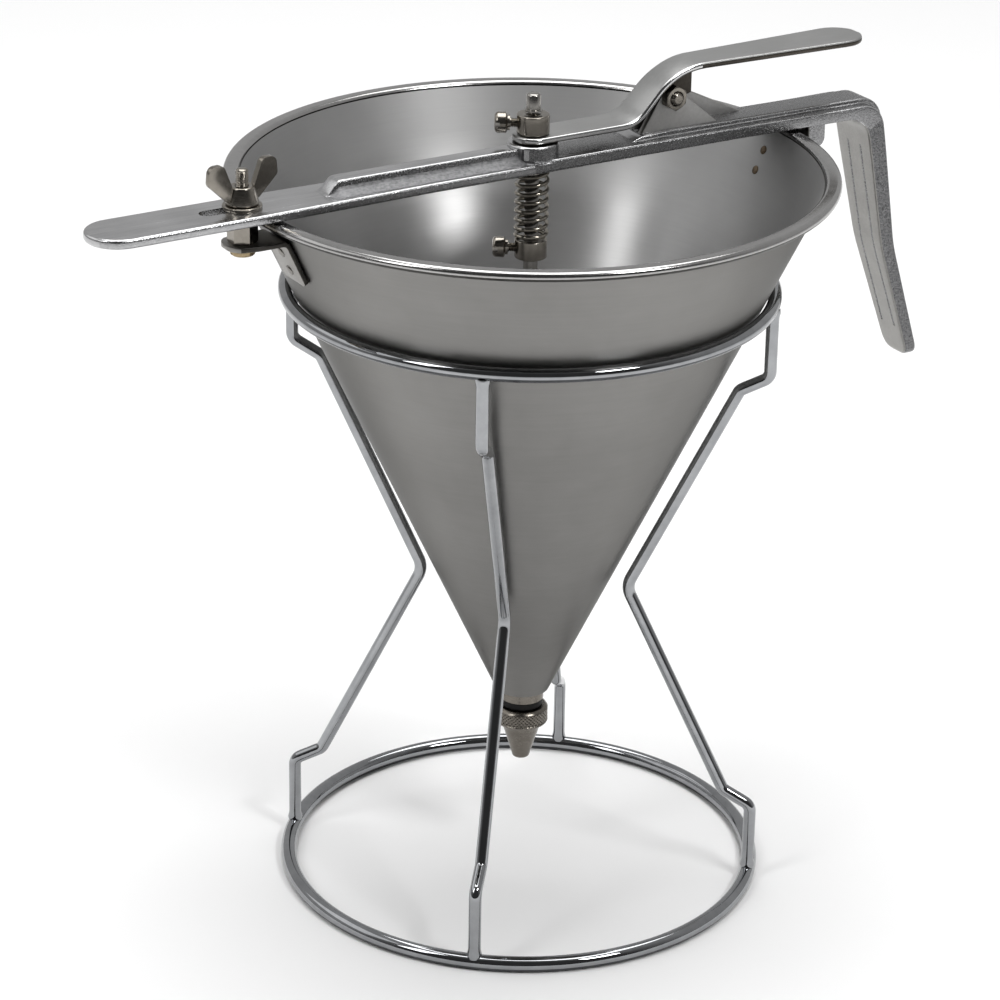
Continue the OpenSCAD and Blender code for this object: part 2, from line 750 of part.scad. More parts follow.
// Rib from the tail's side up to the boss
module tail_rib()
    slab(tail_rib_w)
        polygon([
            [-rib_l, arm_top_z - cut],
            [-rib_l, arm_top_z],
            [-rib_l + rib_ramp, tail_rib_z],
            [0, tail_rib_z],
            [0, arm_top_z - cut]
        ]);

// Rib from the cheeks, over the grip's corner, that dies away down the grip
module grip_rib() {
    down = grip_outer[1] - grip_outer[0];
    slab(grip_rib_w)
        polygon(rounded([
            [pivot_x - cheek_back - rib_ramp, bar_z - cut, 0],
            [pivot_x - cheek_back - rib_ramp, bar_z, 0],
            [pivot_x - cheek_back, grip_rib_z, 0],
            [corner_x + grip_rib_h, grip_rib_z, grip_corner_r + grip_rib_h],
            [corner_x + down[0], bar_z + down[1], 0],
            [corner_x + down[0] - cut, bar_z + down[1], 0],
            [corner_x - cut, bar_z - cut, grip_corner_r]
        ]));
}

// One cheek, with its reach towards the grip and the angle where that flank starts
module cheek(y, reach, angle)
    translate([0, y, 0]) {
        slab(cheek_t)
            polygon([
                [pivot_x - cheek_back, grip_rib_z - cut],
                [pivot_x + reach, grip_rib_z - cut],
                [pivot_x, pivot_z] + cheek_r * [cos(angle), sin(angle)],
                [pivot_x, pivot_z] + cheek_r * [-cos(cheek_side_angle), sin(cheek_side_angle)]
            ]);
        translate([pivot_x, 0, pivot_z]) slab(cheek_t) circle(r = cheek_r);
    }

module cheeks() {
    cheek_y = (lug_w - cheek_t) / 2;
    cheek(-cheek_y, cheek_front, cheek_side_angle);
    cheek(cheek_y, cheek_tail, cheek_tail_angle);
}

module hook() {
    difference() {
        translate([hook_x, -hook_w / 2, arm_z - hook_h]) cube([hook_l, hook_w, hook_h + cut]);
        room = strap_t + 2 * hook_play;
        translate([hook_x - cut, -strap_w / 2 - hook_play, hook_tab_z - room / 2])
            cube([hook_tab_x - hook_x + cut, strap_w + 2 * hook_play, room]);
    }
}

module grip_grooves() {
    top = grip_inner[0] + groove_end_l * unit(grip_inner[1] - grip_inner[0]);
    end = grip_inner[2] + groove_end_l * unit(grip_inner[1] - grip_inner[2]);
    in = [groove_depth, 0];
    out = [cut, 0];
    for (y = [-groove_y, groove_y])
        translate([0, y, 0]) slab(groove_w)
            polygon([
                top - out, top + in, grip_inner[1] + in, end + in, end - out, grip_inner[1] - out
            ]);
}

module clamp_slot()
    for (x = [clamp_x - slot_l, clamp_x + slot_in])
        translate([x, 0, arm_z - cut]) cylinder(d = slot_w, h = arm_t + 2 * cut);

module arm() color(cast_metal)
    difference() {
        union() {
            intersection() {
                slab(arm_w) arm_side();
                union() {
                    arm_plan();
                    grip_front();
                }
            }
            tail_rib();
            grip_rib();
            translate([0, 0, arm_z]) cylinder(r = boss_r, h = boss_z - arm_z);
            cheeks();
            hook();
        }
        clamp_slot();
        translate([clamp_x - slot_l, -slot_w / 2, arm_z - cut])
            cube([slot_l + slot_in, slot_w, arm_t + 2 * cut]);
        translate([0, 0, arm_z - cut]) cylinder(r = rod_r + run_gap, h = boss_z - arm_z + 2 * cut);
        translate([pivot_x, 0, pivot_z]) slab(lug_w + cut) circle(r = bolt_r + join_gap);
        grip_grooves();
    }

module clamp_bolt() color(nickel)
    translate([clamp_x, 0, 0])
        rotate_extrude()
            polygon([
                [0, clamp_tab_under_z - bolt_head_h],
                [bolt_head_d / 2 - bolt_chamfer, clamp_tab_under_z - bolt_head_h],
                [bolt_head_d / 2, clamp_tab_under_z - bolt_head_h + bolt_chamfer],
                [bolt_head_d / 2, clamp_tab_under_z],
                [bolt_r, clamp_tab_under_z],
                [bolt_r, bolt_top_z - bolt_chamfer],
                [bolt_r - bolt_chamfer, bolt_top_z],
                [0, bolt_top_z]
            ]);

// Six-sided prism with a bore, along +Z
module hex_nut(af, h, bore_r)
    difference() {
        rotate(180 / hex_sides) cylinder(r = hex_r(af), h = h, $fn = hex_sides);
        translate([0, 0, -cut]) cylinder(r = bore_r, h = h + 2 * cut);
    }

module clamp_spacer_nut() color(nickel)
    translate([clamp_x, 0, clamp_tab_top_z])
        hex_nut(spacer_af, arm_z - clamp_tab_top_z, bolt_r + join_gap);

module clamp_washer() color(nickel)
    translate([clamp_x, 0, arm_top_z])
        difference() {
            cylinder(d = washer_d, h = washer_t);
            translate([0, 0, -cut]) cylinder(r = bolt_r + run_gap, h = washer_t + 2 * cut);
        }

module wing_nut() color(nickel)
    translate([clamp_x, 0, wing_z]) rotate(wing_turn)
        difference() {
            union() {
                cylinder(r1 = wing_base_r, r2 = wing_top_r, h = wing_body_h);
                for (half_turn = [0, 180])
                    rotate(half_turn) slab(wing_t)
                        polygon(rounded([
                            [wing_root_r, wing_inset, 0],
                            [wing_base_r, wing_inset, 0],
                            [wing_span / 2, wing_corner_h, wing_round_r],
                            [wing_span / 2 - wing_lean, wing_h, wing_round_r],
                            [wing_span / 2 - wing_tip_w, wing_h, wing_round_r],
                            [wing_top_r, wing_body_h - wing_inset, 0],
                            [wing_root_r, wing_body_h - wing_inset, 0]
                        ]));
            }
            translate([0, 0, -cut]) cylinder(r = bolt_r + run_gap, h = wing_h + 2 * cut);
        }

module lever_plan()
    linear_extrude(thumb_z + lever_t) {
        circle(d = lever_w);
        translate([tip_x - thumb_w / 2, 0]) circle(d = thumb_w);
        polygon([
            [0, lever_w / 2],
            [foot_x, lever_w / 2],
            [bend_x, lever_neck_w / 2],
            [tip_x - thumb_w / 2, thumb_w / 2],
            [tip_x - thumb_w / 2, -thumb_w / 2],
            [bend_x, -lever_neck_w / 2],
            [foot_x, -lever_w / 2],
            [0, -lever_w / 2]
        ]);
    }

module lever() color(steel)
    difference() {
        union() {
            intersection() {
                slab(thumb_w + 2 * cut)
                    strip_side([
                        [-lever_w / 2 - cut, lever_z],
                        [foot_x, lever_z],
                        [bend_x, thumb_z],
                        [tip_x + cut, thumb_z]
                    ], [0, foot_bend_r, thumb_bend_r, 0], lever_t);
                lever_plan();
            }
            translate([pivot_x, 0, pivot_z]) slab(ear_t) {
                circle(r = ear_r);
                polygon([
                    -ear_r * slope_along,
                    [0, -ear_r],
                    [ear_front, -ear_drop],
                    [ear_front, thumb_z - pivot_z - lever_t / 4],
                    ear_r * slope_along + (lever_rise - lever_t / 4) * slope_up,
                    -ear_r * slope_along + lever_rise * slope_up
                ]);
            }
        }
        translate([pivot_x, 0, pivot_z]) slab(ear_t + cut) circle(r = bolt_r + run_gap);
        translate([0, 0, lever_z - lever_t]) cylinder(r = rod_r + lever_hole_gap, h = 2 * lever_t);
    }

module pivot_bolt() color(nickel)
    translate([pivot_x, 0, pivot_z]) rotate([90, 0, 0]) {
        head_z = -lug_w / 2 - join_gap - bolt_head_h;
        long = lug_w + nut_t + pivot_end_l + bolt_head_h / 2;
        translate([0, 0, head_z + bolt_head_h / 2]) cylinder(r = bolt_r, h = long);
        translate([0, 0, head_z])
            rotate(180 / hex_sides)
                cylinder(r = hex_r(nut_af), h = bolt_head_h, $fn = hex_sides);
    }

module pivot_nut() color(nickel)
    translate([pivot_x, 0, pivot_z]) rotate([90, 0, 0])
        translate([0, 0, lug_w / 2 + join_gap]) hex_nut(nut_af, nut_t, bolt_r + join_gap);

module plunger_rod() color(steel)
    rotate_extrude()
        polygon([
            [0, plug_top_z - socket_h + join_gap],
            [rod_r, plug_top_z - socket_h + join_gap],
            [rod_r, rod_top_z - rod_chamfer],
            [rod_r - rod_chamfer, rod_top_z],
            [0, rod_top_z]
        ]);

module plunger_plug() color(nickel)
    rotate_extrude()
        polygon([
            [0, pilot_z - pilot_l],
            [pilot_r - thread_chamfer, pilot_z - pilot_l],
            [pilot_r, pilot_z - pilot_l + thread_chamfer],
            [pilot_r, pilot_z],
            [plug_r, plug_z],
            [plug_r, plug_top_z - plug_chamfer],
            [plug_r - plug_chamfer, plug_top_z],
            [rod_r + join_gap, plug_top_z],
            [rod_r + join_gap, plug_top_z - socket_h],
            [0, plug_top_z - socket_h]
        ]);

// Ring clamped on the rod by its thumb screw
module collar(z) color(nickel)
    translate([0, 0, z])
        difference() {
            cylinder(d = collar_d, h = collar_h);
            translate([0, 0, -cut]) cylinder(r = rod_r + join_gap, h = collar_h + 2 * cut);
            translate([0, 0, collar_h / 2]) rotate([0, 90, screw_turn])
                cylinder(d = screw_d + 2 * run_gap, h = collar_d);
        }

// Slotted screw that points at the rod, from the collar that starts at z
module thumb_screw(z) color(nickel)
    translate([0, 0, z + collar_h / 2]) rotate([0, 90, screw_turn])
        difference() {
            head_x = collar_d / 2 + screw_neck_l;
            end_x = head_x + screw_head_l;
            union() {
                translate([0, 0, rod_r + turn_gap]) cylinder(d = screw_d, h = head_x - rod_r);
                translate([0, 0, head_x]) cylinder(d = screw_head_d, h = screw_head_l);
            }
            translate([-screw_slot_w / 2, -screw_head_d, end_x - screw_slot_depth])
                cube([screw_slot_w, 2 * screw_head_d, screw_slot_depth + cut]);
        }

module upper_collar() collar(collar_z);

module lower_collar() collar(lower_collar_z);

module upper_thumb_screw() thumb_screw(collar_z);

module lower_thumb_screw() thumb_screw(lower_collar_z);

// Rings of the spring's tube, square to its middle line
spring_last = len(spring_path) - 1;
function spring_along(i) = unit(
    i == 0 || i == spring_last ? [0, 0, 1] :
    unit(spring_path[i + 1] - spring_path[i]) + unit(spring_path[i] - spring_path[i - 1])
);
function spring_ring(i) =
    let (
        p = spring_path[i],
        t = spring_along(i),
        n = unit([p[0], p[1], 0]),
        flat = unit(n - (n * t) * t),
        b = cross(t, flat)
    )
    [for (k = [0 : spring_sides - 1])
        p + spring_wire / 2 * (cos(360 * k / spring_sides) * flat + sin(360 * k / spring_sides) * b)];
function spring_at(i, k) = i * spring_sides + k % spring_sides;

// One unbroken tube round the spring's middle line
module return_spring() color(steel)
    polyhedron(
        points = [for (i = [0 : spring_last]) each spring_ring(i)],
        faces = concat(
            [for (k = [1 : spring_sides - 2])
                [spring_at(0, 0), spring_at(0, k), spring_at(0, k + 1)]],
            [for (i = [0 : spring_last - 1], k = [0 : spring_sides - 1])
                [spring_at(i, k), spring_at(i + 1, k), spring_at(i, k + 1)]],
            [for (i = [0 : spring_last - 1], k = [0 : spring_sides - 1])
                [spring_at(i, k + 1), spring_at(i + 1, k), spring_at(i + 1, k + 1)]],
            [for (k = [1 : spring_sides - 2])
                [spring_at(spring_last, 0), spring_at(spring_last, k + 1), spring_at(spring_last, k)]]
        )
    );

base_ring();
top_ring();
leg(0);  // leg_1
leg(1);  // leg_2
leg(2);  // leg_3
leg(3);  // leg_4
funnel_cone();
outlet_spout();
outlet_gasket();
nozzle();
clamp_strap();
hook_strap();
clamp_strap_rivets();
hook_strap_rivets();
arm();
clamp_bolt();
clamp_spacer_nut();
clamp_washer();
wing_nut();
lever();
pivot_bolt();
pivot_nut();
plunger_rod();
plunger_plug();
upper_collar();
lower_collar();
upper_thumb_screw();
lower_thumb_screw();
return_spring();
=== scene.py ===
import math
import bmesh
import bpy
from mathutils import Matrix, Vector


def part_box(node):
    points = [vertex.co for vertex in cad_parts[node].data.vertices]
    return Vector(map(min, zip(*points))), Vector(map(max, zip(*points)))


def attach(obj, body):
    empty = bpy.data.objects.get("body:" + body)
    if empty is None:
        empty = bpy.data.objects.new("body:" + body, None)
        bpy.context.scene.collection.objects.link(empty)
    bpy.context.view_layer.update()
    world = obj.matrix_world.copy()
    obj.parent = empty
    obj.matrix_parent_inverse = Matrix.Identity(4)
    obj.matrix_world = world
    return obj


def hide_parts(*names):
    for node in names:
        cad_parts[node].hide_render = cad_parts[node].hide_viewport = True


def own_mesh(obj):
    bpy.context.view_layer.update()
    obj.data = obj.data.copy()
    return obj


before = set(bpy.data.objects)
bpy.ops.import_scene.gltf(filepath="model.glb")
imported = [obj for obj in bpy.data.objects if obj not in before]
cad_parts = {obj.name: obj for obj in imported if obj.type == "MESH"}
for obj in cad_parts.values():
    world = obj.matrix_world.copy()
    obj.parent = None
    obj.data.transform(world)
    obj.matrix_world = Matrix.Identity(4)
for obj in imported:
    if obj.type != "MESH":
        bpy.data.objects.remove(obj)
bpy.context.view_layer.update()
mm = 0.001
nearAxis = 0.05  # turned pieces start this far from their axis
drillCore = 0.1  # cutting tools likewise
meshCare = {"weld": 0.0000004, "sliver": 0.0000002, "bevelFrom": 0.6}  # metres, metres, radians


def boxMm(node):  # a node's corners in millimetres
    low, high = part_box(node)
    return Vector(low) / mm, Vector(high) / mm


def middleMm(node):
    low, high = boxMm(node)
    return (low + high) / 2


# mesh makers, all in millimetres until the last step
def makeObject(name, points, faces, sharp=35):
    mesh = bpy.data.meshes.new(name)
    mesh.from_pydata([Vector(p) * mm for p in points], [], faces)
    work = bmesh.new()
    work.from_mesh(mesh)
    bmesh.ops.remove_doubles(work, verts=work.verts, dist=meshCare["weld"])
    bmesh.ops.dissolve_degenerate(work, edges=work.edges, dist=meshCare["sliver"])
    bmesh.ops.recalc_face_normals(work, faces=work.faces)
    work.to_mesh(mesh)
    work.free()
    return addObject(name, mesh, sharp)


def addObject(name, mesh, sharp=35):
    made = bpy.data.objects.new(name, mesh)
    bpy.context.scene.collection.objects.link(made)
    softEdges(made, sharp)
    return made


def softEdges(made, sharp=35):
    made.data.shade_smooth()
    made.data.set_sharp_from_angle(angle=math.radians(sharp))


def grid(rows, closedAlong=False):  # quads between closed rows of equal length
    count = len(rows[0])
    points = [p for row in rows for p in row]
    faces = []
    for i in range(len(rows) if closedAlong else len(rows) - 1):
        j = (i + 1) % len(rows)
        for k in range(count):
            n = (k + 1) % count
            faces.append((i * count + k, i * count + n, j * count + n, j * count + k))
    return points, faces


def loft(name, sections, sharp=35):  # closed sections with flat ends
    points, faces = grid(sections)
    count = len(sections[0])
    faces.append(tuple(range(count - 1, -1, -1)))
    faces.append(tuple(range(len(points) - count, len(points))))
    return makeObject(name, points, faces, sharp)


def turned(name, profile, centre=(0, 0, 0), steps=72, sharp=35, axis=None, ripple=None):
    # closed outline of (radius, height) turned about Z, or about axis
    rows = []
    for radius, height in profile:
        row = []
        for k in range(steps):
            a = 2 * math.pi * k / steps
            r = radius + (ripple(a, height) if ripple else 0)
            row.append(Vector((r * math.cos(a), r * math.sin(a), height)))
        rows.append(row)
    return place(makeObject(name, *grid(rows, True), sharp), centre, axis)


def place(made, centre, axis=None):  # from the origin and Z to its own centre and axis
    turn = Matrix.Identity(4)
    if axis:
        turn = Vector((0, 0, 1)).rotation_difference(Vector(axis)).to_matrix().to_4x4()
    made.data.transform(Matrix.Translation(Vector(centre) * mm) @ turn)
    return made


def drill(radius, low, high, centre=(0, 0, 0), steps=40, axis=None):  # round cutting tool
    outline = [(drillCore, low), (radius, low), (radius, high), (drillCore, high)]
    return turned("drillTool", outline, centre, steps, 35, axis)


def arcPoints(u, v, radius, first, last, steps):  # points on an arc, angles in degrees
    turns = [math.radians(first + (last - first) * k / steps) for k in range(steps + 1)]
    return [(u + radius * math.cos(a), v + radius * math.sin(a)) for a in turns]


def rectangle(u0, v0, u1, v1):
    return [(u0, v0), (u1, v0), (u1, v1), (u0, v1)]


def arcRound(corners, steps=6, closed=True):  # (u, v, radius) corners to a rounded outline
    line = []
    count = len(corners)
    for i, (u, v, radius) in enumerate(corners):
        here = Vector((u, v))
        if radius <= 0 or (not closed and i in (0, count - 1)):
            line.append(here)
            continue
        before = Vector(corners[i - 1][:2])
        after = Vector(corners[(i + 1) % count][:2])
        a, b = (before - here).normalized(), (after - here).normalized()
        half = math.acos(max(-1, min(1, a.dot(b)))) / 2
        middle = here + (a + b).normalized() * radius / math.sin(half)
        start = here + a * radius / math.tan(half) - middle
        end = here + b * radius / math.tan(half) - middle
        first = math.atan2(start.y, start.x)
        sweep = math.atan2(start.x * end.y - start.y * end.x, start.dot(end))
        for k in range(steps + 1):
            w = first + sweep * k / steps
            line.append(middle + radius * Vector((math.cos(w), math.sin(w))))
    return line


def evenLine(corners, arcSteps, spans):  # rounded open line, with shares of each straight run
    line = arcRound(corners, arcSteps, False)
    out = []
    at = 0
    for i in range(len(corners) - 1):
        out += [line[at].lerp(line[at + 1], share) for share in spans[i]]
        at += 1
        if i < len(corners) - 2:
            out += line[at:at + arcSteps]
            at += arcSteps
    out.append(line[-1])
    return out


def plate(name, outline, low, high, bevel=0.4, across="z", steps=3):
    # outline pushed from low to high along one axis, with rounded edges
    def at(p, h):
        return Vector((p[0], p[1], h)) if across == "z" else Vector((p[0], h, p[1]))
    count = len(outline)
    points = [at(p, low) for p in outline] + [at(p, high) for p in outline]
    faces = [tuple(range(count)), tuple(range(2 * count - 1, count - 1, -1))]
    faces += [(k, (k + 1) % count, count + (k + 1) % count, count + k) for k in range(count)]
    made = makeObject(name, points, faces)
    if bevel:
        work = bmesh.new()
        work.from_mesh(made.data)
        edges = [e for e in work.edges if len(e.link_faces) == 2]
        edges = [e for e in edges if e.calc_face_angle(0) > meshCare["bevelFrom"]]
        bmesh.ops.bevel(
            work, geom=edges, offset=bevel * mm, segments=steps, profile=0.5, affect="EDGES",
            clamp_overlap=True,
        )
        bmesh.ops.recalc_face_normals(work, faces=work.faces)
        work.to_mesh(made.data)
        work.free()
        softEdges(made)
    return made


def tube(name, path, radii, sides=18):  # round wire with its own radius at each point
    circle = [2 * math.pi * k / sides for k in range(sides)]
    rows = []
    side = None
    for i, p in enumerate(path):
        along = (path[min(i + 1, len(path) - 1)] - path[max(i - 1, 0)]).normalized()
        if side is None:
            side = along.orthogonal().normalized()
        side = (side - along * side.dot(along)).normalized()
        other = along.cross(side)
        rows.append([p + radii[i] * (math.cos(a) * side + math.sin(a) * other) for a in circle])
    return loft(name, rows, 40)


def stripLoft(name, line, widths, edge):  # flat strip along a line in XZ, (width, thickness) at each point
    sections = []
    for i, p in enumerate(line):
        along = (line[min(i + 1, len(line) - 1)] - line[max(i - 1, 0)]).normalized()
        up = Vector((-along.y, along.x))
        w, t = widths[i][0] / 2, widths[i][1] / 2
        e = min(edge, t * 0.95, w * 0.9)  # thin ends keep a little flat
        outline = arcRound([(-w, -t, e), (w, -t, e), (w, t, e), (-w, t, e)], 4)
        sections.append([Vector((p.x + up.x * v, y, p.y + up.y * v)) for y, v in outline])
    return loft(name, sections)


def endShrink(distance, radius):  # how far a rounded end falls back at this distance from its tip
    if distance >= radius:
        return 0
    return radius - math.sqrt(max(0, radius ** 2 - (radius - distance) ** 2))


def unitShare(value):
    return max(0, min(1, value))


def mixIn(made, tool, how="DIFFERENCE", sharp=35):  # boolean, applied at once
    change = made.modifiers.new("mix", "BOOLEAN")
    change.operation = how
    change.solver = "EXACT"
    change.object = tool
    seen = made.evaluated_get(bpy.context.evaluated_depsgraph_get())
    mesh = bpy.data.meshes.new_from_object(seen)
    made.modifiers.clear()
    made.data = mesh
    bpy.data.objects.remove(tool)
    softEdges(made, sharp)
    return made


def joined(name, parts):  # several loose shells as one piece
    work = bmesh.new()
    for part in parts:
        work.from_mesh(part.data)
    mesh = bpy.data.meshes.new(name)
    work.to_mesh(mesh)
    work.free()
    for part in parts:
        bpy.data.objects.remove(part)
    return addObject(name, mesh)


nutCut = {"steps": 72, "cone": 28.0, "inset": 0.05}  # how the corners are turned off


def hexPiece(name, flats, height, bore, chamfer, centre, axis=None, bothEnds=True):
    # six-sided nut with its corners turned off in a cone, as a real one has
    sixth = math.pi / 3
    inner = flats / 2 - nutCut["inset"]
    slope = math.tan(math.radians(nutCut["cone"]))
    lip = min(chamfer, height / 4)
    ring = [
        (bore + lip, 0), (inner, 0), (None, 0), (None, height),  # None follows the six sides
        (inner, height), (bore + lip, height), (bore, height - lip), (bore, lip),
    ]
    rows = []
    for radius, h in ring:
        row = []
        for k in range(nutCut["steps"]):
            a = 2 * math.pi * k / nutCut["steps"]
            r, z = radius, h
            if radius is None:
                r = flats / 2 / math.cos((a - sixth / 2) % sixth - sixth / 2)
                drop = max(0, r - inner) * slope
                z = h - drop if h > 0 else (drop if bothEnds else 0)
            row.append(Vector((r * math.cos(a), r * math.sin(a), z)))
        rows.append(row)
    return place(makeObject(name, *grid(rows, True), 25), centre, axis)


def threadRipple(pitch, depth, low, high):  # screw thread between two heights
    def ripple(a, h):
        if h <= low or h >= high:
            return 0
        phase = (h / pitch - a / (2 * math.pi)) % 1
        return -depth * (1 - abs(2 * phase - 1))
    return ripple


def spaced(low, high, step):
    count = max(1, int(round((high - low) / step)))
    return [low + (high - low) * k / count for k in range(count + 1)]


# finishes
def newFinish(name):
    finish = bpy.data.materials.new(name)
    finish.use_nodes = True
    return finish, finish.node_tree, finish.node_tree.nodes["Principled BSDF"]


def feed(tree, node, inputs):  # sockets are linked, plain values are set
    for key, value in inputs.items():
        if isinstance(value, bpy.types.NodeSocket):
            tree.links.new(value, node.inputs[key])
        else:
            node.inputs[key].default_value = value


def add(tree, kind, inputs=None, **settings):
    made = tree.nodes.new(kind)
    for key, value in settings.items():
        setattr(made, key, value)
    feed(tree, made, inputs or {})
    return made


def spread(tree, source, low, high, fromLow=0.3, fromHigh=0.7):  # a noise value to a wanted span
    span = {"Value": source, "From Min": fromLow, "From Max": fromHigh, "To Min": low, "To Max": high}
    return add(tree, "ShaderNodeMapRange", span).outputs["Result"]


def stretched(tree, scale=(1, 1, 1)):  # object coordinates, stretched along the grain
    coords = add(tree, "ShaderNodeTexCoord").outputs["Object"]
    return add(tree, "ShaderNodeMapping", {"Vector": coords, "Scale": scale}).outputs["Vector"]


def noise(tree, vector, scale, detail=3.0, rough=0.55):
    inputs = {"Vector": vector, "Scale": scale, "Detail": detail, "Roughness": rough}
    return add(tree, "ShaderNodeTexNoise", inputs).outputs["Fac"]


def blended(tree, first, second, share):  # two noise values as one
    return add(tree, "ShaderNodeMix", {"Factor": share, "A": first, "B": second}).outputs["Result"]


def toneRamp(tree, source, tones):
    made = add(tree, "ShaderNodeValToRGB", {"Fac": source})
    stops = made.color_ramp.elements
    while len(stops) < len(tones):
        stops.new(0.5)
    for stop, (at, tone) in zip(stops, tones):
        stop.position = at
        stop.color = (*tone, 1)
    return made.outputs["Color"]


def bumpFrom(tree, source, strength, distance=0.0002, under=None):
    inputs = {"Height": source, "Strength": strength, "Distance": distance}
    if under is not None:
        inputs["Normal"] = under
    return add(tree, "ShaderNodeBump", inputs).outputs["Normal"]


def roundBrush(tree, along, across):  # vector that runs slowly round Z and fast down the wall
    coords = add(tree, "ShaderNodeTexCoord").outputs["Object"]
    split = add(tree, "ShaderNodeSeparateXYZ", {0: coords}).outputs
    flat = add(tree, "ShaderNodeCombineXYZ", {"X": split["X"], "Y": split["Y"]})
    unit = add(tree, "ShaderNodeVectorMath", {0: flat.outputs[0]}, operation="NORMALIZE")
    grow = add(tree, "ShaderNodeVectorMath", {0: unit.outputs[0], "Scale": along}, operation="SCALE")
    tall = add(tree, "ShaderNodeMath", {0: split["Z"], 1: across}, operation="MULTIPLY")
    rise = add(tree, "ShaderNodeCombineXYZ", {"Z": tall.outputs[0]})
    total = add(tree, "ShaderNodeVectorMath", {0: grow.outputs[0], 1: rise.outputs[0]}, operation="ADD")
    return total.outputs[0]


# one spun steel in two tones: the inside's lighter base is painted light, standing in for light bounced round
# inside the cone, and the outside's darker base and weaker grazing tint are painted shade
spunLooks = {
    "funnelOutsideShaded": {
        "dark": (0.212, 0.208, 0.2), "light": (0.28, 0.275, 0.266), "rough": (0.3, 0.4), "aniso": 0.5,
        "linesAlong": 2.5, "linesAcross": 900.0, "lineRelief": 0.03, "topRough": 0.0, "grazing": 0.45,
    },
    "funnelInsideLit": {
        "dark": (0.34, 0.339, 0.338), "light": (0.43, 0.428, 0.426), "rough": (0.3, 0.38), "aniso": 0.7,
        "linesAlong": 3.5, "linesAcross": 1100.0, "lineRelief": 0.1, "topRough": 0.24, "grazing": 1.0,
    },
}
spunBase = {"clouds": 16.0, "lineShare": 0.2, "bandFrom": 0.036, "bandTo": 0.014}  # band below the rim


def spunSteel(name, look):  # brushed round the axis, with soft clouding
    finish, tree, shader = newFinish(name)
    lines = noise(tree, roundBrush(tree, look["linesAlong"], look["linesAcross"]), 1.0, 4.0, 0.7)
    clouds = noise(tree, stretched(tree), spunBase["clouds"], 4.0, 0.6)
    both = blended(tree, clouds, lines, spunBase["lineShare"])
    rimZ = boxMm("funnel_cone")[1].z * mm
    band = rimZ - spunBase["bandFrom"], rimZ - spunBase["bandTo"]
    height = add(tree, "ShaderNodeSeparateXYZ", {"Vector": stretched(tree)}).outputs["Z"]
    duller = spread(tree, height, 0.0, look["topRough"], *band)  # handled band
    rough = add(tree, "ShaderNodeMath", {0: spread(tree, both, *look["rough"]), 1: duller}, operation="ADD")
    brushWay = add(tree, "ShaderNodeTangent", direction_type="RADIAL", axis="Z")
    feed(tree, shader, {
        "Base Color": toneRamp(tree, both, [(0.3, look["dark"]), (0.7, look["light"])]),
        "Roughness": rough.outputs[0],
        "Normal": bumpFrom(tree, lines, look["lineRelief"]),
        "Tangent": brushWay.outputs["Tangent"],
        "Metallic": 1.0,
        "Specular Tint": (*grey(look["grazing"]), 1),
        "Anisotropic": look["aniso"],
        "Anisotropic Rotation": 0.25,  # highlights run down the wall
    })
    return finish


def grey(tone):
    return (tone, tone, tone)


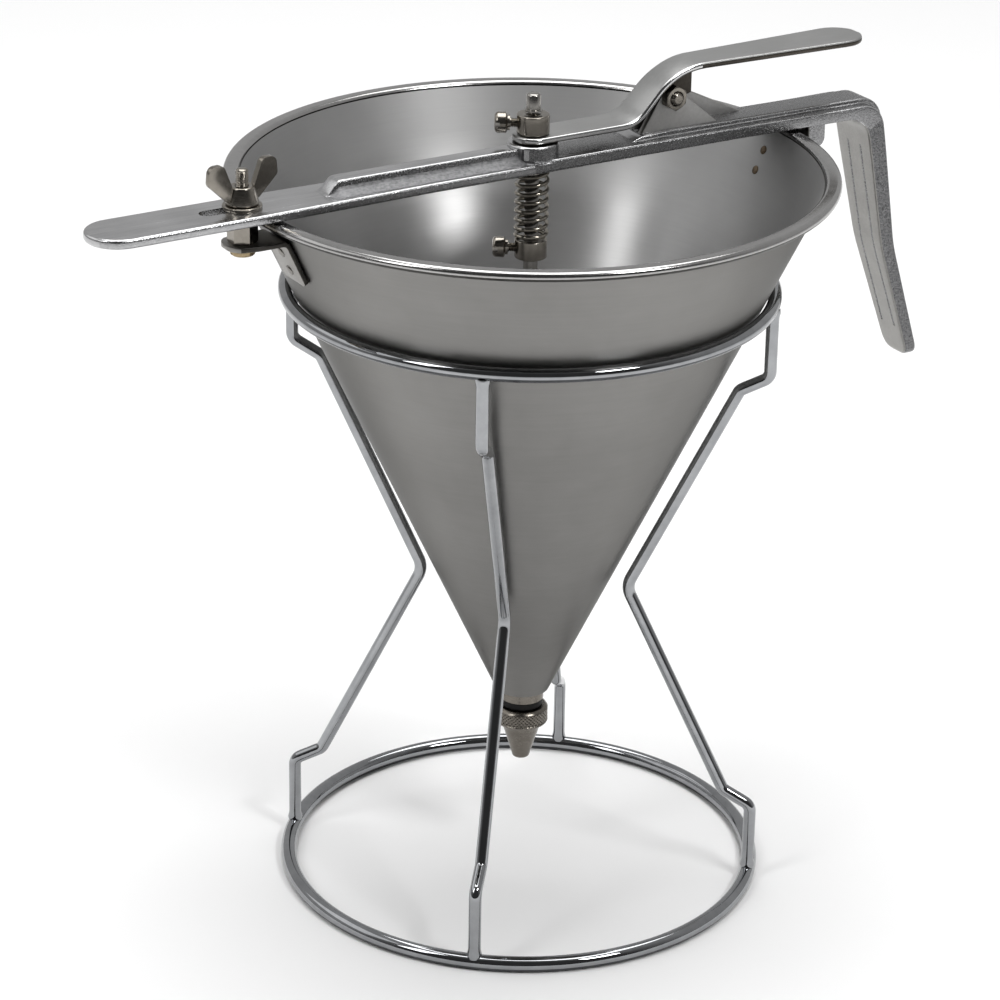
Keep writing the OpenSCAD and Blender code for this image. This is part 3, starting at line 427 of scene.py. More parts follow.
even = (1, 1, 1)  # grain with no direction
metalLooks = {  # dark, light, roughness, patch scale, grain, grain scale, relief, pits and their scale
    "rimSteel": ((0.36, 0.355, 0.35), (0.44, 0.435, 0.43), (0.12, 0.2), 40, even, 500, 0.02),
    "rimShade": ((0.03, 0.029, 0.027), (0.07, 0.068, 0.064), (0.3, 0.45), 60, even, 500, 0.02),
    "brightWire": ((0.27, 0.276, 0.286), (0.36, 0.367, 0.378), (0.03, 0.08), 60, even, 260, 0.015),
    "wireShade": ((0.05, 0.052, 0.055), (0.1, 0.103, 0.108), (0.06, 0.14), 60, even, 260, 0.015),
    "strapSteel": ((0.2, 0.192, 0.18), (0.29, 0.28, 0.262), (0.3, 0.42), 140, (1, 1, 6), 260, 0.08),
    "strapEdge": ((0.035, 0.033, 0.03), (0.08, 0.076, 0.07), (0.4, 0.55), 200, even, 900, 0.1),
    "stainedRivet": ((0.07, 0.05, 0.03), (0.22, 0.17, 0.12), (0.35, 0.55), 900, even, 1500, 0.2),
    "armPolished": (
        (0.42, 0.42, 0.425), (0.58, 0.58, 0.585), (0.17, 0.3), 45, (0.05, 1, 1), 620, 0.14, 0.05, 1900,
    ),
    "armCast": (
        (0.15, 0.15, 0.153), (0.36, 0.36, 0.364), (0.16, 0.36), 1900, (0.3, 1, 1), 3200, 0.3, 0.35, 2300,
    ),
    "armInner": ((0.24, 0.235, 0.225), (0.33, 0.323, 0.31), (0.28, 0.42), 160, even, 1500, 0.12),
    "armEdge": ((0.3, 0.3, 0.305), (0.5, 0.5, 0.505), (0.16, 0.32), 1300, (0.3, 1, 1), 2400, 0.2, 0.15, 2100),
    "gripSideShade": ((0.03, 0.03, 0.031), (0.26, 0.26, 0.264), (0.18, 0.4), 1700, even, 2600, 0.35, 0.4, 2000),
    "cheekFaceLit": ((0.44, 0.435, 0.425), (0.58, 0.575, 0.565), (0.4, 0.52), 120, even, 900, 0.08),
    "ribFootShade": (
        (0.06, 0.06, 0.062), (0.19, 0.19, 0.193), (0.26, 0.46), 900, (0.2, 1, 1), 2400, 0.2, 0.2, 2000,
    ),
    "leverSteel": ((0.37, 0.37, 0.365), (0.43, 0.43, 0.425), (0.3, 0.38), 40, (0.08, 1, 1), 1300, 0.06),
    "polishedEdge": ((0.52, 0.52, 0.52), (0.66, 0.66, 0.66), (0.08, 0.16), 90, (0.1, 1, 1), 500, 0.03),
    "leverUnderShade": ((0.05, 0.044, 0.037), (0.1, 0.09, 0.078), (0.35, 0.5), 90, even, 900, 0.08),
    "nickelPlate": ((0.225, 0.207, 0.18), (0.31, 0.288, 0.255), (0.14, 0.24), 110, even, 700, 0.03),
    "wornNickel": ((0.15, 0.136, 0.117), (0.215, 0.197, 0.173), (0.2, 0.3), 110, even, 700, 0.03),
    "goldenNickel": ((0.24, 0.185, 0.11), (0.38, 0.3, 0.185), (0.2, 0.34), 180, even, 900, 0.04),
    "drawnRod": ((0.26, 0.25, 0.232), (0.38, 0.366, 0.345), (0.14, 0.26), 150, (1, 1, 0.08), 1500, 0.05),
    "springWire": ((0.2, 0.185, 0.158), (0.36, 0.332, 0.285), (0.1, 0.18), 200, even, 1200, 0.04),
}
metalBase = {"grainShare": 0.45, "darkStop": 0.32, "lightStop": 0.68, "pitDepth": 0.0004}


def metalFinish(name, dark, light, rough, mottle, grain, grainScale, relief, pits=0.0, pitScale=0.0):
    # worn metal: two tones in soft patches, a grain, and a fine relief
    finish, tree, shader = newFinish(name)
    plain = stretched(tree)
    patches = noise(tree, plain, mottle, 4.0)
    lines = noise(tree, stretched(tree, grain), grainScale, 3.0, 0.6)
    both = blended(tree, patches, lines, metalBase["grainShare"])
    tones = toneRamp(tree, both, [(metalBase["darkStop"], dark), (metalBase["lightStop"], light)])
    surface = bumpFrom(tree, lines, relief)
    if pits:
        surface = bumpFrom(tree, noise(tree, plain, pitScale, 2.0), pits, metalBase["pitDepth"], surface)
    gloss = spread(tree, both, *rough)
    feed(tree, shader, {"Base Color": tones, "Roughness": gloss, "Normal": surface, "Metallic": 1.0})
    return finish


rubberLook = {
    "dark": grey(0.004), "light": (0.014, 0.0135, 0.013), "dust": 700.0, "rough": (0.45, 0.7), "relief": 0.15,
}


def rubberFinish(name, look):
    finish, tree, shader = newFinish(name)
    dust = noise(tree, stretched(tree), look["dust"], 4.0)
    feed(tree, shader, {
        "Base Color": toneRamp(tree, dust, [(0.35, look["dark"]), (0.7, look["light"])]),
        "Roughness": spread(tree, dust, *look["rough"]),
        "Normal": bumpFrom(tree, dust, look["relief"]),
        "Specular IOR Level": 0.2,
    })
    return finish


finishes = {name: spunSteel(name, look) for name, look in spunLooks.items()}
finishes.update({name: metalFinish(name, *look) for name, look in metalLooks.items()})
finishes["gasketRubber"] = rubberFinish("gasketRubber", rubberLook)
print("finishes made")


def paint(made, names, choose):  # a finish for each face, by its normal, its centre in mm and its area in mm2
    made.data.materials.clear()
    for name in names:
        made.data.materials.append(finishes[name])
    for face in made.data.polygons:
        face.material_index = names.index(choose(face.normal, face.center / mm, face.area / mm ** 2))


def settle(made, body, finish, slotName, *nodes):  # finish, body and the solids it stands for
    if finish:
        made.data.materials.clear()
        made.data.materials.append(finishes[finish])
    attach(made, body)
    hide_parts(*nodes)


def settleFitting(made, body, node):  # small plated fittings share one finish
    settle(made, body, "nickelPlate", "plated_fittings", node)


# wire stand
standWire = {
    "legSize": 4.0, "baseSize": 5.0, "legTurn": 48.2, "legDrop": 24.0, "legStep": 9.2, "legStepHeight": 5.0,
    "footHeight": 26.5, "waistHeight": 101.0, "waistRadius": 33.3, "stepBend": 3.6, "waistBend": 7.0,
    "weldSwell": 0.4, "weldLength": 1.2, "weldSink": 0.3, "shadeBand": (-0.75, -0.25),
    "topShares": [0, 0.03, 0.06, 0.09, 0.13, 0.2, 0.6],  # close together at the welds
    "baseShares": [0, 0.4, 0.8, 0.86, 0.91, 0.95, 0.98],
}


def wireRing(name, ringRadius, height, wire, floorCut=False):
    profile = arcPoints(ringRadius, height, wire / 2, 0, 360, 24)[:-1]
    if floorCut:
        profile = [(r, max(z, 0)) for r, z in profile]  # flat that it stands on
    ring = turned(name, profile, steps=192)
    low, high = standWire["shadeBand"]
    def ringFinish(n, c, area):  # dark line low on the wire
        return "wireShade" if low < n.z < high else "brightWire"
    paint(ring, ("brightWire", "wireShade"), ringFinish)
    return ring


def buildStand(size):
    topLow, topHigh = boxMm("top_ring")
    baseHigh = boxMm("base_ring")[1]
    topWire, baseWire = topHigh.z - topLow.z, size["baseSize"]
    topRadius, topHeight = topHigh.x - topWire / 2, (topHigh.z + topLow.z) / 2
    baseRadius, baseHeight = baseHigh.x - baseWire / 2, baseHigh.z - baseWire / 2
    topRing = wireRing("standTopRing", topRadius, topHeight, topWire)
    settle(topRing, "stand", None, "stand_wire", "top_ring")
    baseRing = wireRing("standBaseRing", baseRadius, baseHeight, baseWire, True)
    settle(baseRing, "stand", None, "stand_wire", "base_ring")
    drop, foot = topHeight - size["legDrop"], size["footHeight"]
    step, stepHeight, bend = size["legStep"], size["legStepHeight"], size["stepBend"]
    corners = [
        (topRadius, topHeight - topWire * size["weldSink"], 0),
        (topRadius, drop, bend),
        (topRadius - step, drop - stepHeight, bend),
        (size["waistRadius"], size["waistHeight"], size["waistBend"]),
        (baseRadius - step, foot + stepHeight, bend),
        (baseRadius, foot, bend),
        (baseRadius, baseHeight + baseWire * size["weldSink"], 0),
    ]
    slant = [0, 0.3, 0.6]
    line = evenLine(corners, 8, [size["topShares"], [0, 0.5], slant, slant, [0, 0.5], size["baseShares"]])
    radii = []
    for p in line:  # weld beads swell the wire where it meets the rings
        gap = min(abs(p.y - (topHeight - topWire / 2)), abs(p.y - (baseHeight + baseWire / 2)))
        radii.append(size["legSize"] / 2 + size["weldSwell"] * math.exp(-((gap / size["weldLength"]) ** 2)))
    for i in range(4):
        a = math.radians(size["legTurn"] + 90 * i)
        path = [Vector((p.x * math.cos(a), p.x * math.sin(a), p.y)) for p in line]
        leg = tube("standLeg%d" % (i + 1), path, radii, 20)
        settle(leg, "stand", "brightWire", "stand_wire", "leg_%d" % (i + 1))


buildStand(standWire)
print("stand built")

# funnel with its rolled lip
coneShape = {
    "angle": 25.0, "wall": 1.0, "lipWidth": 5.2, "lipHeight": 3.0, "wallRows": 13,
    "creaseDrop": 0.2, "creaseWidth": 0.45, "creaseDepth": 0.3,
}
coneTilt = math.radians(coneShape["angle"])
funnelLow, funnelHigh = boxMm("funnel_cone")
rimRadius = funnelHigh.y
rimHeight = funnelHigh.z - coneShape["lipHeight"] / 2


def coneRadius(height):  # outside of the cone
    roll = coneShape["lipHeight"] / 2
    top = rimRadius - coneShape["lipWidth"] + roll - (roll - coneShape["wall"]) / math.cos(coneTilt)
    return top - (rimHeight - height) * math.tan(coneTilt)


def buildFunnel(size):
    roll, rows = size["lipHeight"] / 2, size["wallRows"]
    inner = Vector((rimRadius - size["lipWidth"] + roll, rimHeight))
    outer = Vector((rimRadius - roll, rimHeight))
    square = Vector((-math.cos(coneTilt), math.sin(coneTilt)))  # across the wall, inwards
    along = Vector((math.sin(coneTilt), math.cos(coneTilt)))  # up the wall
    back = math.sqrt(roll ** 2 - (roll - size["wall"]) ** 2)
    meet = inner + square * (roll - size["wall"]) - along * back
    start = math.degrees(math.atan2(*(meet - inner).yx))
    if start > 0:
        start -= 360
    endRadius = coneRadius(funnelLow.z)
    outsideEnd = Vector((endRadius, funnelLow.z))
    insideEnd = Vector((endRadius - size["wall"] / math.cos(coneTilt), funnelLow.z))
    profile = [outsideEnd.lerp(meet, k / rows) for k in range(rows)]
    lip = arcPoints(*inner, roll, start, -90, 5)
    lip += arcPoints(*outer, roll, -90, 90, 14)
    lip += arcPoints(*inner, roll, 90, 180 - size["angle"], 6)
    profile += [Vector(p) for p in lip]
    crease = profile[-1] - along * size["creaseDrop"]  # fine line where the lip was rolled over
    seam = crease - along * size["creaseWidth"]
    profile += [crease, (crease + seam) / 2 - square * size["creaseDepth"], seam]
    profile += [seam.lerp(insideEnd, k / rows) for k in range(1, rows + 1)]
    funnel = turned("funnelShell", [(p.x, p.y) for p in profile], steps=200, sharp=50)
    def funnelFinish(n, c, area):  # the rolled lip is brighter than the wall; painted shade in the crease and under the roll
        away = c.xy.length
        if seam.y < c.z < crease.y and away < crease.x + 0.2:
            return "rimShade"
        if c.z > rimHeight - roll - 0.05 and away > inner.x - roll:
            return "rimSteel" if n.z > -0.3 else "rimShade"
        # inward faces get the painted-light tone, outward faces the painted-shade tone
        return "funnelInsideLit" if n.z > 0.1 else "funnelOutsideShaded"
    paint(funnel, ("funnelOutsideShaded", "funnelInsideLit", "rimSteel", "rimShade"), funnelFinish)
    settle(funnel, "funnel", None, "funnel_steel", "funnel_cone")


buildFunnel(coneShape)
print("funnel built")

# straps riveted to the cone
strapShape = {
    "thick": 1.5, "width": 14.0, "bend": 2.4, "edge": 0.3, "corner": 2.2, "tabRound": 6.2, "seatGap": 0.02,
    "shares": [0, 0.004, 0.015, 0.035, 0.06, 0.1, 0.16, 0.5, 0.9],  # close together at the rounded ends
    "rivetDrop": 4.2, "rivetPitch": 6.2, "rivetHead": 1.7, "rivetDome": 0.65, "rivetRoot": 0.3,
    "rivetGap": 0.04, "insideWidth": 0.85, "insideDome": 0.5,
}


def buildStrap(node, side, size):
    low, high = boxMm(node)
    thick = size["thick"]
    tab = high.z - thick / 2
    reach = abs(low.x if side < 0 else high.x)
    off = (size["seatGap"] + thick / 2) / math.cos(coneTilt)
    foot = low.z + thick / 2 * math.sin(coneTilt)
    corners = [(coneRadius(foot) + off, foot, 0), (coneRadius(tab) + off, tab, size["bend"]), (reach, tab, 0)]
    line = evenLine(corners, 8, [size["shares"], [1 - e for e in reversed(size["shares"])]])
    tabCorner = size["tabRound"] if side < 0 else size["corner"]
    widths = []
    for p in line:
        toFoot, toTab = max((p - line[0]).length, 0.01), max((p - line[-1]).length, 0.01)
        fallen = 2 * max(endShrink(toFoot, size["corner"]), endShrink(toTab, tabCorner))
        widths.append((size["width"] - fallen, thick - 2 * endShrink(min(toFoot, toTab), size["edge"])))
    strap = stripLoft("strap_" + node, [Vector((side * p.x, p.y)) for p in line], widths, size["edge"])
    def strapFinish(n, c, area):  # the cut edges lie in shadow against the cone
        return "strapEdge" if abs(n.y) > 0.8 else "strapSteel"
    paint(strap, ("strapSteel", "strapEdge"), strapFinish)
    settle(strap, "funnel", None, "strap_steel", node)
    buildRivets(node, side, tab, size)


def buildRivets(node, side, tab, size):
    normal = Vector((side * math.cos(coneTilt), 0, -math.sin(coneTilt)))
    r, dome, root = size["rivetHead"], size["rivetDome"], -size["rivetRoot"]
    cap = [(r * u, dome * v) for u, v in arcPoints(0, 0, 1, 0, 90, 8)[:-1]]
    cap += [(nearAxis, dome), (nearAxis, root), (r - 0.1, root)]
    flat = [(u * size["insideWidth"], v * size["insideDome"]) for u, v in cap]  # set flat on the inside
    heads = []
    for k in range(2):
        z = tab - size["rivetDrop"] - k * size["rivetPitch"]
        seat = Vector((side * coneRadius(z), 0, z))
        outside = seat + normal * (size["thick"] + size["rivetGap"])
        inside = seat - normal * (coneShape["wall"] + size["rivetGap"])
        heads.append(turned("head", cap, outside, 32, 40, normal))
        heads.append(turned("head", flat, inside, 32, 40, -normal))
    rivets = joined("rivets_" + node, heads)
    def rivetFinish(n, c, area):
        return "stainedRivet" if c.xy.length < coneRadius(c.z) else "strapSteel"
    paint(rivets, ("strapSteel", "stainedRivet"), rivetFinish)
    settle(rivets, "funnel", None, "strap_steel", node + "_rivets")


buildStrap("clamp_strap", -1, strapShape)
buildStrap("hook_strap", 1, strapShape)
print("straps built")

# cast arm and grip
armShape = {
    "tailWidth": 20.4, "waistWidth": 17.0, "waistBack": 40.0, "waistFront": 75.0, "edge": 1.0, "tailEnd": 3.0,
    "slotWidth": 5.0, "slotBack": 11.5, "slotFront": 1.0,
    "barStart": -4.0, "barRise": 1.0, "gripWidth": 19.0, "gripThick": 6.0,
    "gripEndWidth": 13.0, "gripEndThick": 4.6,
    "cornerX": 126.0, "upperLength": 51.0, "lowerLength": 44.5, "upperLean": 10.5, "lowerLean": 18.5,
    "cornerRound": 9.0, "softRound": 60.0, "tipRound": 5.5, "tipThin": 0.42, "fullWidthShort": 15.0,
    "barShares": [0, 0.05, 0.2, 0.28, 0.285, 0.295, 0.305, 0.315, 0.325, 0.4, 0.6, 0.65, 0.8, 0.95],
    "upperShares": [0, 0.25, 0.5, 0.75],
    "tipShares": [0, 0.2, 0.4, 0.6, 0.75, 0.85, 0.89, 0.92, 0.945, 0.965, 0.98, 0.99, 0.996, 0.999],
    "gripRibWidth": 11.0, "gripRibHeight": 2.25, "gripRibFoot": 0.8, "gripRibEdge": 0.9, "ramp": 4.5,
    "tailRibWidth": 6.4, "tailRibHeight": 4.25, "tailRibLength": 74.0, "tailRibFoot": 3.4, "tailRibEdge": 0.8,
    "tailRibRamp": 5.5, "footTop": 0.55, "footCurve": 1.25,
    "rampSteps": [0, 0.6, 1.4, 2.4, 3.4, 4.2, 4.8, 5.6, 8], "ribSteps": [-50, -30, -15, 0],
    "bossRadius": 8.0, "bossFillet": 1.1, "bossEdge": 0.8, "bossLift": 0.03, "rodBore": 2.4, "boreMouth": 3.0,
    "cheekRadius": 3.4, "cheekThick": 2.4, "cheekGap": 1.6, "cheekBack": 10.8, "cheekEdge": 0.45,
    "cheekTop": 160.0,
    "cheeks": [(-1, 18.2, 20.0), (1, 31.2, 66.0)],  # side, reach past the pivot, where the round starts
    "hookLength": 6.5, "hookWidth": 17.5, "hookDepth": 7.4, "hookGap": 2.8, "hookWall": 2.2, "hookSink": 1.2,
    "hookEdge": 0.6, "hookHeel": 0.8, "hookToe": 3.2, "roomHeight": 1.8, "roomWidth": 14.3,
    "grooveOffset": 3.4, "grooveSize": 0.45, "grooveTop": 0.24, "grooveEnd": 0.27, "grooveLift": 0.1,
    "grooveFace": 9.0,  # larger faces are not part of a groove
}
armLow = boxMm("arm")[0]
armUnder = boxMm("clamp_spacer_nut")[1].z
armTop = boxMm("clamp_washer")[0].z
clampX = middleMm("clamp_bolt").x
pivot = middleMm("pivot_nut")
leverLow, leverHigh = boxMm("lever")
bossTop = leverLow.z - 0.3  # the lever's foot rests just above it
barTop = armTop + armShape["barRise"]
ribTop = barTop + armShape["gripRibHeight"]


def armTail(size):  # flat tail with its slot, seen from above
    half, waist = size["tailWidth"] / 2, size["waistWidth"] / 2
    side = [(clampX, -half), (-size["waistBack"], -waist), (size["tailEnd"], -waist)]
    outline = arcPoints(armLow.x + half, 0, half, 90, 270, 28)
    outline += side + [(x, -y) for x, y in reversed(side)]
    tail = plate("armCast", outline, armUnder, armTop, size["edge"], "z", 5)
    slot = arcPoints(clampX - size["slotBack"], 0, size["slotWidth"] / 2, 90, 270, 14)
    slot += arcPoints(clampX + size["slotFront"], 0, size["slotWidth"] / 2, -90, 90, 14)
    return mixIn(tail, plate("slotTool", slot, armUnder - 3, armTop + 3, 0))


def gripCorners(size):  # bend, knee and end of the grip, outside and inside
    up, low = math.radians(size["upperLean"]), math.radians(size["lowerLean"])
    bend = Vector((size["cornerX"], barTop))
    knee = bend + size["upperLength"] * Vector((math.sin(up), -math.cos(up)))
    end = knee + size["lowerLength"] * Vector((math.sin(low), -math.cos(low)))
    inner = [
        Vector((bend.x - size["gripThick"], armUnder)),
        knee - Vector(((size["gripThick"] + size["gripEndThick"]) / 2, 0)),
        end - Vector((size["gripEndThick"], 0)),
    ]
    return [bend, knee, end], inner


def barSection(width, thick, rise, size):  # outline across the bar, with its flat rib on top
    w, t, h = width / 2, thick, max(rise, 0.02)
    e = min(size["edge"], w * 0.9, t * 0.48)
    f, g = min(size["gripRibFoot"], h * 0.45), min(size["gripRibEdge"], h * 0.5)
    r = min(size["gripRibWidth"] / 2, w - e - f - 0.05)
    half = [(0, 0), (w * 0.5, 0)]  # from the middle of the underside to the middle of the top
    half += arcPoints(w - e, e, e, -90, 0, 5)
    half += arcPoints(w - e, t - e, e, 0, 90, 5)
    half += arcPoints(r + f, t + f, f, 270, 180, 4)
    half += arcPoints(r - g, t + h - g, g, 0, 90, 4)
    half.append((0, t + h))
    return half + [(-y, v) for y, v in reversed(half[1:-1])]


def armBar(size):  # bar and grip, lofted between an inner and an outer line
    outerCorners, innerCorners = gripCorners(size)
    bend, knee, end = outerCorners
    rounds = (size["cornerRound"], size["softRound"], 0)
    spans = [size["barShares"], size["upperShares"], size["tipShares"]]
    def bentLine(height, corners):
        start = [(size["barStart"], height, 0)]
        return evenLine(start + [(*c, r) for c, r in zip(corners, rounds)], 10, spans)
    ribStart = pivot.x - size["cheekBack"] - size["ramp"]
    fullWidthX = size["cornerX"] - size["fullWidthShort"]
    fullWidthZ = armUnder - size["cornerRound"]
    waist, full, last = size["waistWidth"], size["gripWidth"], size["gripEndWidth"]
    sections = []
    for a, b in zip(bentLine(armUnder, innerCorners), bentLine(barTop, outerCorners)):
        upWay = (b - a).normalized()
        thick = (b - a).length
        if b.y > fullWidthZ:
            share = unitShare((b.x - size["waistFront"]) / (fullWidthX - size["waistFront"]))
            width = waist + (full - waist) * share
        else:
            width = full + (last - full) * (fullWidthZ - b.y) / (fullWidthZ - end.y)
        tip = max((b - end).length, 0.02)
        width -= 2 * endShrink(tip, size["tipRound"])
        pull = endShrink(tip, thick * size["tipThin"])
        if b.x < size["cornerX"] - size["cornerRound"] - 1:
            rise = unitShare((b.x - ribStart) / size["ramp"])
        else:
            rise = unitShare((b.y - knee.y) / (bend.y - knee.y))
        shape = barSection(width, thick - 2 * pull, size["gripRibHeight"] * rise, size)
        lifted = [(y, v + pull) for y, v in shape]
        sections.append([Vector((a.x + upWay.x * v, y, a.y + upWay.y * v)) for y, v in lifted])
    return loft("barTool", sections)


def tailRib(size):  # rib on the tail's side, with a sloping foot
    start = -size["tailRibLength"]
    sections = []
    for x in [start + d for d in size["rampSteps"]] + size["ribSteps"]:
        share = 0.5 - 0.5 * math.cos(math.pi * min(1, (x - start) / size["tailRibRamp"]))
        rise = max(size["tailRibHeight"] * share, 0.05)
        w = size["tailRibWidth"] / 2
        f, g = min(size["tailRibFoot"], rise * 0.8), min(size["tailRibEdge"], rise * 0.3)
        half = [(w + f, -0.4), (w + f, 0.01)]
        for k in range(1, 7):
            half.append((w + f * (1 - k / 6) ** size["footCurve"], rise * size["footTop"] * k / 6))
        half += arcPoints(w - g, rise - g, g, 0, 90, 4)
        shape = half + [(-y, v) for y, v in reversed(half)]
        sections.append([Vector((x, y, armTop + v)) for y, v in shape])
    return loft("ribTool", sections)


def rodBoss(size):  # boss round the rod
    r, f, e = size["bossRadius"], size["bossFillet"], size["bossEdge"]
    root, foot = armTop - 1, armTop + size["bossLift"]
    profile = [(r + f, root), (r + f, foot)]
    profile += arcPoints(r + f, foot + f, f, 270, 180, 4)[1:]
    profile += arcPoints(r - e, bossTop - e, e, 0, 90, 5)
    profile += [(1, bossTop), (1, root)]
    return turned("bossTool", profile, steps=64)


def rodBore(size):  # way for the rod, wider at its mouth
    bore, mouth = size["rodBore"], size["boreMouth"]
    low, high = armUnder - 5, bossTop + 5
    profile = [(drillCore, low), (bore, low), (bore, bossTop - 0.4), (mouth, bossTop + 0.2), (mouth, high)]
    return turned("boreTool", profile + [(drillCore, high)], steps=48)


def leverCheek(size, side, reach, roundFrom):  # one of the two cheeks that carry the lever
    half = size["cheekThick"] / 2
    mid = side * (size["cheekGap"] + half)
    outline = [(pivot.x - size["cheekBack"], ribTop - 1), (pivot.x + reach, ribTop - 1)]
    outline += arcPoints(pivot.x, pivot.z, size["cheekRadius"], roundFrom, size["cheekTop"], 12)
    return plate("cheekTool", outline, mid - half, mid + half, size["cheekEdge"], "y")


def armHook(size):  # hook that takes the strap's tab
    near = rimRadius + size["hookGap"]
    far = near + size["hookLength"]
    low, high = armUnder - size["hookDepth"], armUnder + size["hookSink"]
    corners = [(near, low, size["hookHeel"]), (far, low, size["hookToe"]), (far, high, 0), (near, high, 0)]
    half = size["hookWidth"] / 2
    hook = plate("hookTool", arcRound(corners, 6), -half, half, size["hookEdge"], "y")
    tab = boxMm("hook_strap")[1].z - strapShape["thick"] / 2
    half, play = size["roomWidth"] / 2, size["roomHeight"] / 2
    room = rectangle(near - 3, tab - play, far - size["hookWall"], tab + play)
    return mixIn(hook, plate("roomTool", room, -half, half, 0, "y"))


def buildArm(size):
    arm = armTail(size)
    mixIn(arm, armBar(size), "UNION")
    mixIn(arm, tailRib(size), "UNION")
    mixIn(arm, rodBoss(size), "UNION")
    mixIn(arm, rodBore(size))
    for side, reach, roundFrom in size["cheeks"]:
        mixIn(arm, leverCheek(size, side, reach, roundFrom), "UNION")
    mixIn(arm, armHook(size), "UNION")
    bend, knee, end = gripCorners(size)[1]
    top, low = bend.lerp(knee, size["grooveTop"]), end.lerp(knee, size["grooveEnd"])
    grooveLine = (top, top.lerp(knee, 0.5), knee, knee.lerp(low, 0.5), low)
    for y in (-size["grooveOffset"], size["grooveOffset"]):  # two grooves down the inside of the grip
        path = [Vector((p.x - size["grooveLift"], y, p.y)) for p in grooveLine]
        mixIn(arm, tube("grooveTool", path, [size["grooveSize"]] * len(path), 12))
    softEdges(arm, 30)

    boss, slotHalf = size["bossRadius"], size["slotWidth"] / 2
    slotEnd = clampX - size["slotBack"] - slotHalf
    footBand = armTop + 0.05, armTop + size["tailRibHeight"] * 0.6
    def armFinish(n, c, area):  # polished faces on top, cast skin on the sides, dull inside the grip, with painted shade in the slot, the grooves, the rib's foot and on the grip's sides, and painted light on the cheeks' sides
        aside = abs(n.y)
        inSlot = slotEnd - 0.1 < c.x < clampX + 4 and abs(c.y) < slotHalf + 0.1 and abs(n.z) < 0.5
        onGroove = abs(abs(c.y) - size["grooveOffset"]) < size["grooveSize"] and n.x < 0
        inGroove = onGroove and low.y - 1 < c.z < top.y + 1 and area < size["grooveFace"]
        # painted shade: the slot's walls and the grooves take the darker cast skin
        if inSlot or inGroove:
            return "armCast"
        if c.z > ribTop + 0.2 and c.x > boss:
            # painted light: the cheeks' flat sides get a lighter base than the rest of the casting
            return "cheekFaceLit" if aside > 0.7 else "armInner"
        if c.z < armUnder - 1 and n.x < -0.5:
            return "armInner"
        # painted shade: the grip's sides are darker than the rest of the cast skin
        if aside > 0.6 and c.z < armUnder - 3 and c.x > size["cornerX"] - 8:
            return "gripSideShade"
        # painted shade on the sloping foot of the tail's rib
        if footBand[0] < c.z < footBand[1] and c.x < 0 and 0.2 < aside < 0.8:
            return "ribFootShade"
        if aside > 0.5 and c.x < -boss and c.z < armTop and n.z > -0.5:
            return "armEdge"
        onGrip = c.x > boss + 1 and (n.z > 0.95 or n.x > 0.6)
        return "armCast" if n.z < -0.6 or aside > 0.8 or onGrip else "armPolished"
    skins = ("armPolished", "armCast", "armInner", "armEdge", "gripSideShade", "cheekFaceLit", "ribFootShade")
    paint(arm, skins, armFinish)
    settle(arm, "funnel", None, "arm_casting", "arm")


buildArm(armShape)
print("arm built")

# bent lever with its ear
leverShape = {
    "thick": 2.0, "footWidth": 13.0, "neckWidth": 12.0, "thumbWidth": 17.0,
    "footBend": 12.0, "thumbBend": 24.0,
    "slope": 46.5, "rise": 5.34, "edge": 0.75, "hole": 3.25, "holePast": 4.0,
    "earThick": 2.6, "earRadius": 3.4, "earFront": 9.4, "earDrop": 0.8,
    "shares": [0, 0.002, 0.005, 0.01, 0.02, 0.035, 0.055, 0.08, 0.11, 0.15, 0.2],  # close at the ends
    "edgeFrom": 4.0, "tipLength": 9.0, "thumbFrom": 8.0,
}


